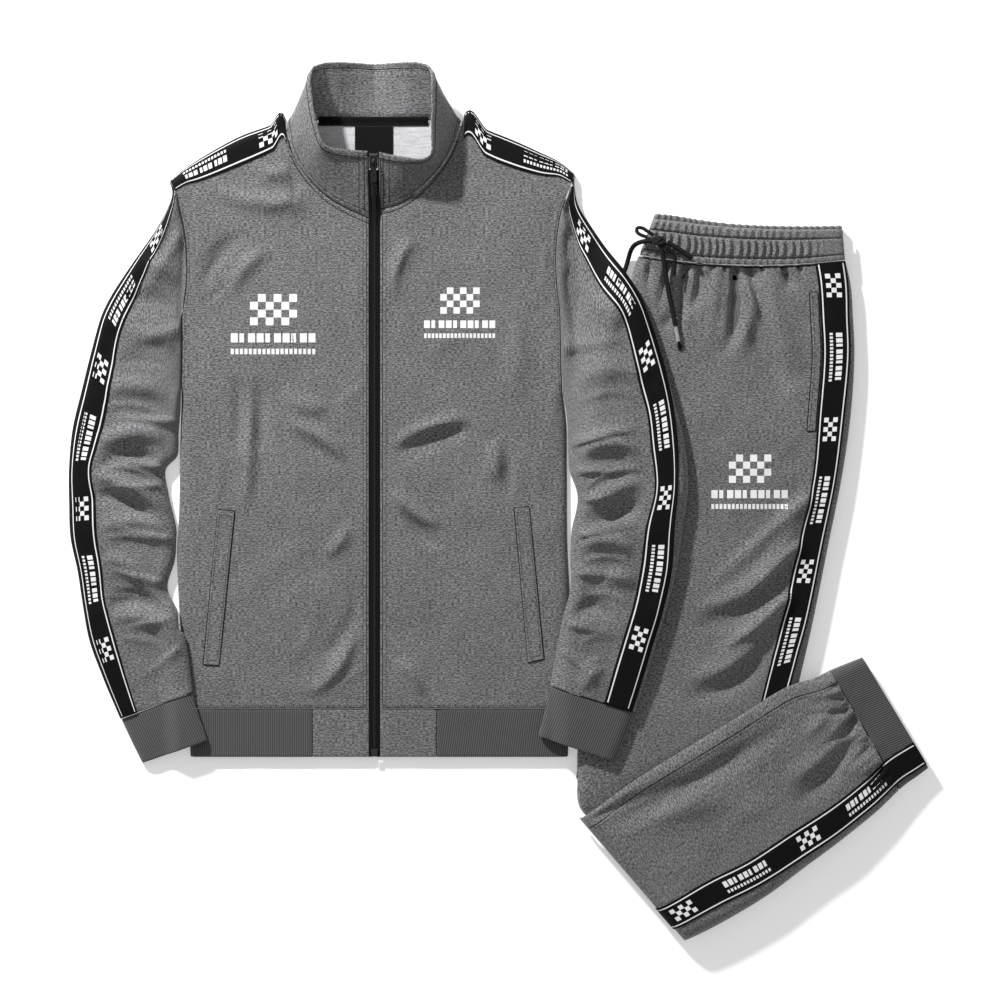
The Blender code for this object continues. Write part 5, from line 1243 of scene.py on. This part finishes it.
def add_layers():
    """Folded cloth under the upper and the lower leg."""
    rows = at(UPPER_LEG, np.linspace(0.02, 0.95, 60))
    layered("folded_upper_leg", np.vstack([rows[:, 2:4], rows[::-1, 0:2]]), 9.2, ["upper_leg_layers"])
    rows = at(LOWER_LEG, np.linspace(0.022, 0.985, 50))
    along = rows[:, 2:4] - rows[:, 0:2]
    along = along / np.linalg.norm(along, axis=1, keepdims=True)
    start = rows[:, 0:2] + along * (TUCK + 4) * smoothstep(489, 478, rows[:, 0:1])
    layered("folded_lower_leg", np.vstack([rows[:, 2:4], start[::-1]]), 8.0, ["lower_leg_layers"])


def gather_wave(t, sharp):
    """Uneven gathers along the waistband, 0 to 1."""
    shifted = t + 0.006 * np.sin(2 * np.pi * 3.3 * t) + 0.0035 * np.sin(2 * np.pi * 7.7 * t + 1)
    return (0.5 + 0.5 * np.cos(2 * np.pi * BAND_GATHERS * shifted)) ** sharp


def add_waistband():
    t = np.linspace(0, 1, 420)
    rows = at(BAND, t)
    v = np.concatenate([np.linspace(0, 0.26, 10), np.linspace(0.28, 0.32, 5), np.linspace(0.34, 0.8, 16),
                        np.linspace(0.81, 0.85, 5), np.linspace(0.87, 1, 6)])[:, None]
    plan = rows[:, 0:2] + (rows[:, 2:4] - rows[:, 0:2]) * v[..., None]
    grooves = 1.7 * np.exp(-((v - 0.3) / 0.022) ** 2) + 1.4 * np.exp(-((v - 0.83) / 0.022) ** 2)
    ends = roll(t * BAND_LONG, 8) * roll((1 - t) * BAND_LONG, 8)
    edge = roll(v * 42 + 0.1, 5)
    lean = t + 0.004 * np.sin(v * 9)
    channel = smoothstep(0.29, 0.38, v) * smoothstep(0.83, 0.75, v)
    narrow = smoothstep(0.0, 0.1, v) * smoothstep(0.3, 0.24, v) + smoothstep(0.84, 0.9, v)
    fade = smoothstep(0, 0.02, t) * smoothstep(0.92, 0.78, t)
    folds = (3.4 * channel * gather_wave(lean, 1.3) + 1.7 * narrow * gather_wave(lean + 0.01, 1.1)) * fade
    z = 14.0 + (BAND_TOP - 14.0) * ends * (0.4 + 0.6 * edge) - grooves + folds
    z = z + rumple(plan[..., 0], plan[..., 1], 71, 0.5) * ends
    grid = np.dstack([plan, z])
    uv = np.dstack(np.broadcast_arrays(t * 330, -v * 42))
    piece = add_cloth("rib_waistband", grid, uv, RIB_WALL, [JERSEY], ["waistband_front"], floor=10.6)
    # Dark lines along the two stitch grooves are painted shade; the stitches lie on them.
    for level in (0.3, 0.83):
        row = int(np.argmin(np.abs(v[:, 0] - level)))
        SHADE_LINES.line(grid[row] + (0, 0, 0.12), 0.8)
        STITCHES.stitch(grid[row] + (0, 0, 0.25))


def add_band_behind():
    """The far side of the waistband: a thick gathered band that shows above the front."""
    t = np.linspace(0, 1, 300)
    rows = at(BAND, t)
    away = rows[:, 0:2] - rows[:, 2:4]
    away = away / np.linalg.norm(away, axis=1, keepdims=True)
    shown = BAND_STRIP * (0.6 + 0.4 * smoothstep(0.5, 0, t))
    folds = gather_wave(t * 1.04 + 0.01, 1.2)
    far_edge = rows[:, 0:2] + away * (shown + 0.7 * folds - 0.4)[:, None]
    near_edge = rows[:, 2:4] + away * 3.4
    ends = 0.55 + 0.45 * roll(t * BAND_LONG, 5)
    rings = []
    for share, z in BEHIND_SECTION:
        gathers = 1.6 * folds * smoothstep(0.8, 0.95, share) * smoothstep(6, 10, z)
        rings.append(np.column_stack([near_edge + (far_edge - near_edge) * share, (z + gathers) * ends]))
    rings = np.array(rings).transpose(1, 0, 2)[:, ::-1]
    uv = np.dstack(np.broadcast_arrays((t * 330)[:, None], np.linspace(0, 60, len(BEHIND_SECTION))))
    capped_rings("rib_waistband_behind", rings, uv, ["waistband_back"])


CORD = 2.6
KNOT = (313.0, 213.0, 27.6)
# Columns: tilt, radius, shift from the knot's middle.
KNOT_TURNS = [(0.5, 3.0, (-1.2, 0.6, 0.2)), (-0.7, 2.6, (1.6, -1.6, -0.2)), (1.4, 2.2, (0.4, -0.4, 1.0))]
LONG_END = [
    (314.5, 205.0, 27.0), (316, 197, 26.4), (318, 186, 24.8), (320, 172, 23.0), (323, 155, 22.4),
    (327, 137, 22.4), (330, 121, 22.4)]
LEFT_END = [
    (304.5, 213, 27.6), (298, 213.5, 27.2), (291.5, 212.5, 25.2), (285.5, 210, 19.0), (281.5, 204, 10.0),
    (279.5, 197, 4.6), (277, 188, 2.9), (273, 178, 2.8)]
LEFT_LOOP = [
    (306, 219.5, 28.2), (299, 224, 28.2), (292, 228, 27.4), (287.5, 227.5, 27.2), (287.5, 223.6, 27.4),
    (293, 219.5, 28.0), (299, 217.6, 28.6)]
RIGHT_LOOP = [
    (320.6, 212, 27.8), (328, 208, 27.4), (336, 203, 27.0), (343, 198, 26.4), (348, 194.5, 25.8)]
LOWER_LOOP = [
    (320.5, 206.0, 27.0), (326, 201, 26.2), (329, 194, 25.4), (329, 184, 23.4), (328, 176, 22.4)]


def smooth_route(points, spacing):
    """Even, smooth route of 15 to 38 points through the given ones."""
    route = np.array(points, float)
    places = travelled(route)
    count = int(np.clip(places[-1] / spacing, 15, 38))
    return through(places, route, np.linspace(0, places[-1], count))


def new_curve(name, radius, resolution):
    curve = bpy.data.curves.new(name, "CURVE")
    curve.dimensions = "3D"
    curve.bevel_depth = radius * MM
    curve.bevel_resolution = resolution
    return curve


def add_spline(curve, route):
    spline = curve.splines.new("POLY")
    spline.points.add(len(route) - 1)
    for point, place in zip(spline.points, route):
        point.co = (*(place * MM), 1)
    return spline


def add_cord(name, points, radius, stands_for):
    route = smooth_route(points, radius * 1.1)
    curve = new_curve(name, radius, 4)
    curve.use_fill_caps = True
    add_spline(curve, route).use_smooth = True
    obj = finish_piece(bpy.data.objects.new(name, curve), [CORD_BLACK], stands_for)
    return obj


def add_drawstring():
    """Two ends, a bow of three loops and the turns of its knot."""
    angle = np.linspace(0, 2 * np.pi, 17)
    tied = []
    for k, (tilt, radius, shift) in enumerate(KNOT_TURNS):
        ring = np.column_stack([radius * 1.15 * np.cos(angle), radius * np.sin(angle),
                                1.1 * np.sin(2 * angle)])
        turn = np.array([[np.cos(tilt), -np.sin(tilt), 0], [np.sin(tilt), np.cos(tilt), 0], [0, 0, 1]])
        stands_for = ["drawstring_knot"] if k == 0 else []
        tied.append(add_cord(f"knot_turn_{k + 1}", np.array(KNOT) + shift + ring @ turn.T, 2.5, stands_for))
    repaint("drawstring_aglet", AGLET)
    tied = ["drawstring_aglet", add_fray()] + tied
    tied.append(add_cord("bow_left", LEFT_LOOP, 2.0, ["drawstring_left_loop"]))
    tied.append(add_cord("bow_lower", LOWER_LOOP, 2.0, ["drawstring_lower_loop"]))
    add_cord("cord_long", LONG_END, CORD, ["drawstring_long_end"])
    add_cord("cord_left", LEFT_END, CORD, ["drawstring_left_end"])
    add_cord("cord_short", RIGHT_LOOP, CORD, ["drawstring_right_loop"])


def add_fray():
    """Frayed threads beyond the aglet."""
    random = np.random.default_rng(5)
    curve = new_curve("cord_fray", 0.35, 1)
    start = np.array([333.4, 104.4, 22.0])
    s = np.linspace(0, 1, 5)[:, None]
    for _ in range(22):
        spread = random.uniform(-1, 1, 2)
        reach = random.uniform(6, 10.5)
        end = start + (spread[0] * 2.6 + 1.5, -reach, -3.0 + spread[1] * 0.8)
        middle = (start + end) / 2 + (spread[0] * 1.6, 0, 1.2)
        add_spline(curve, (1 - s) ** 2 * start + 2 * s * (1 - s) * middle + s * s * end)
    return finish_piece(bpy.data.objects.new("cord_fray", curve), [CORD_BLACK], ())


def add_emblem(place, x, y, scale):
    """Generic printed mark: a block of checks over two rows of dashes."""
    check = 8.6 * scale
    add_checks(place, x, y - 2 * check, (6, 4), (check, check))
    for k in range(10):
        left = x - 47 * scale + k * 9.5 * scale
        PRINT.patch(place, left, left + (7.6, 5.0)[k % 3 == 1] * scale, y - 36 * scale, y - 26 * scale)
    for k in range(19):
        left = x - 47 * scale + k * 4.97 * scale
        PRINT.patch(place, left, left + 3.4 * scale, y - 49 * scale, y - 43 * scale)


def height_on(grid, x, y):
    """Height of a grid's surface over plan points."""
    row = np.full(x.shape, grid.shape[0] * 0.45)
    column = np.full(x.shape, grid.shape[1] * 0.5)
    for _ in range(25):
        here = bilinear(grid, row, column)
        down = bilinear(grid, row + 0.5, column) - bilinear(grid, row - 0.5, column)
        across = bilinear(grid, row, column + 0.5) - bilinear(grid, row, column - 0.5)
        miss_x, miss_y = x - here[..., 0], y - here[..., 1]
        area = down[..., 0] * across[..., 1] - down[..., 1] * across[..., 0]
        row = row + (miss_x * across[..., 1] - miss_y * across[..., 0]) / area
        column = column + (down[..., 0] * miss_y - down[..., 1] * miss_x) / area
    return bilinear(grid, row, column)[..., 2]


def add_prints():
    """Generic prints on the chest and the thigh; the tapes have put their marks in the same mesh."""
    leg, _, _ = upper_leg_points(np.linspace(0.25, 0.6, 160))
    add_emblem(lambda u, v: np.dstack([u, v, front_surface(-1, u, v) + 0.12]), -111, 140, 1.0)
    add_emblem(lambda u, v: np.dstack([u, v, front_surface(1, u, v) + 0.12]), 94, 150, 0.84)
    add_emblem(lambda u, v: np.dstack([u, v, height_on(leg, u, v) + 0.15]), 412, -35, 0.9)
    PRINT.object("print_white", PRINT_WHITE, with_uv=True)


def on_front(sign, x, y):
    x, y = np.broadcast_arrays(x, y)
    return np.column_stack([x, y, front_surface(sign, x, y) + 0.1])


def add_seams():
    """Seams of the fronts as dark lines of painted shade, with their stitches: collar, armhole, hem and zip.
    """
    for sign, _ in SIDES:
        edge = sign * np.linspace(ZIP_SIDE, 92, 140)
        collar = top_y(top_of(sign), edge)
        level = np.linspace(52, 268, 170)
        side = edge_x(side_of(sign), level)
        hem = sign * np.linspace(ZIP_SIDE + 2, 196, 170)
        beside_zip = np.linspace(HEM_SEAM_Y + 4, FRONT_NECK_Y + 2, 300)
        # Dark lines of painted shade along the collar seam, armhole, hem seam and zip.
        for x, y, width in ((edge, collar - 5.2, 0.8), (side - sign * 0.6, level, 0.9),
                            (hem, HEM_SEAM_Y + 1.0, 0.8), (sign * (ZIP_SIDE + 2.4), beside_zip, 0.6)):
            SHADE_LINES.line(on_front(sign, x, y), width)
        for x, y in ((edge, collar - 3.6), (side - sign * 3.4, level), (hem, HEM_SEAM_Y + 3.5),
                     (sign * (ZIP_SIDE + 6.4), beside_zip)):
            STITCHES.stitch(on_front(sign, x, y))
    STITCHES.object("stitching", THREAD_WITH_SEAM_SHADE)
    SHADE_LINES.object("painted_seam_shade_lines", SEAM_SHADE)


def add_neck_allowance():
    """Cloth turned in behind the collar seam, which closes the view between collar and fronts."""
    for sign, word in SIDES:
        edge = sign * np.linspace(ZIP_SIDE, 95, 90)
        seam = top_y(top_of(sign), edge)
        slope = np.gradient(seam, edge)
        out = np.column_stack([-slope, np.ones_like(slope)]) / np.sqrt(1 + slope[:, None] ** 2)
        low = front_surface(sign, edge, seam - 1.5) - 3.4
        grid = np.array([
            np.column_stack([np.column_stack([edge, seam]) + out * distance, low + 0.28 * max(distance, 0)])
            for distance in np.linspace(3.0, -3.5, 6)])[:, ::sign]
        add_cloth(f"seam_allowance_{word}", grid, grid[..., :2], 0.6, [COLLAR_CLOTH])


def add_stage():
    """White floor, one soft lamp up and to the left, and even light from all sides."""
    points = np.array([(-1, -1), (1, -1), (1, 1), (-1, 1)]) * FLOOR_HALF
    floor = mesh_object("floor", np.column_stack([points, [-0.4] * 4]), [[0, 1, 2, 3]])
    finish = Finish("floor_white", 0.9, 0.93, gloss=0.0)
    finish.inputs["Emission Color"].default_value = (1, 1, 1, 1)
    finish.inputs["Emission Strength"].default_value = FLOOR_GLOW
    floor.data.materials.append(finish.material)
    bpy.context.scene.collection.objects.link(floor)
    light = bpy.data.lights.new("lamp", "POINT")
    light.energy = 4 * np.pi * LAMP_AWAY ** 2 * SUN
    light.shadow_soft_size = LAMP_AWAY * np.tan(np.radians(SUN_SIZE) / 2)
    lamp = bpy.data.objects.new("lamp", light)
    elevation = np.radians(SUN_ELEVATION)
    towards = Vector((-0.515 * np.cos(elevation), 0.857 * np.cos(elevation), np.sin(elevation)))
    lamp.location = Vector((-0.05, 0.15, 0)) + towards * LAMP_AWAY
    bpy.context.scene.collection.objects.link(lamp)
    world = bpy.data.worlds.new("studio")
    world.use_nodes = True
    background = world.node_tree.nodes["Background"]
    background.inputs["Color"].default_value = (1, 1, 1, 1)
    background.inputs["Strength"].default_value = FILL
    bpy.context.scene.world = world
    view = bpy.context.scene.view_settings
    view.view_transform = "Standard"
    view.look = "None"


PHOTO_WIDE = 1.1      # metres of floor across the picture
LENS = 85.0
SUN = 5.5
SUN_SIZE = 4.0
SUN_ELEVATION = 31.0
LAMP_AWAY = 2.6       # metres from the chest to the lamp
FILL = 0.42
FLOOR_HALF = 3000     # half the floor's width
FLOOR_GLOW = 0.3


def add_camera():
    camera = bpy.data.cameras.new("camera")
    camera.lens = LENS
    camera.clip_end = 50
    obj = bpy.data.objects.new("camera", camera)
    obj.location = (138.0 * MM, -69.3 * MM, PHOTO_WIDE * LENS / 36 + 0.008)
    bpy.context.scene.collection.objects.link(obj)
    bpy.context.scene.camera = obj


add_camera()
add_drawstring()
add_zip()
add_front(-1, "right")
add_front(1, "left")
add_sleeve(-1, SLEEVE_RIGHT, "right")
add_sleeve(1, SLEEVE_LEFT, "left")
add_cuff(-1, CUFF_RIGHT, "right")
add_cuff(1, CUFF_LEFT, "left")
add_back()
add_hem()
add_neck_allowance()
add_collar()
add_neck_pieces()
add_welt("right", -1, [(-172, -80), (-154, -82), (-188, -250), (-171, -251)])
add_welt("left", 1, [(154, -78), (170, -77), (169, -248), (186, -244)])
add_layers()
add_upper_leg()
add_lower_leg()
add_band_behind()
add_waistband()
add_prints()
add_seams()
add_stage()
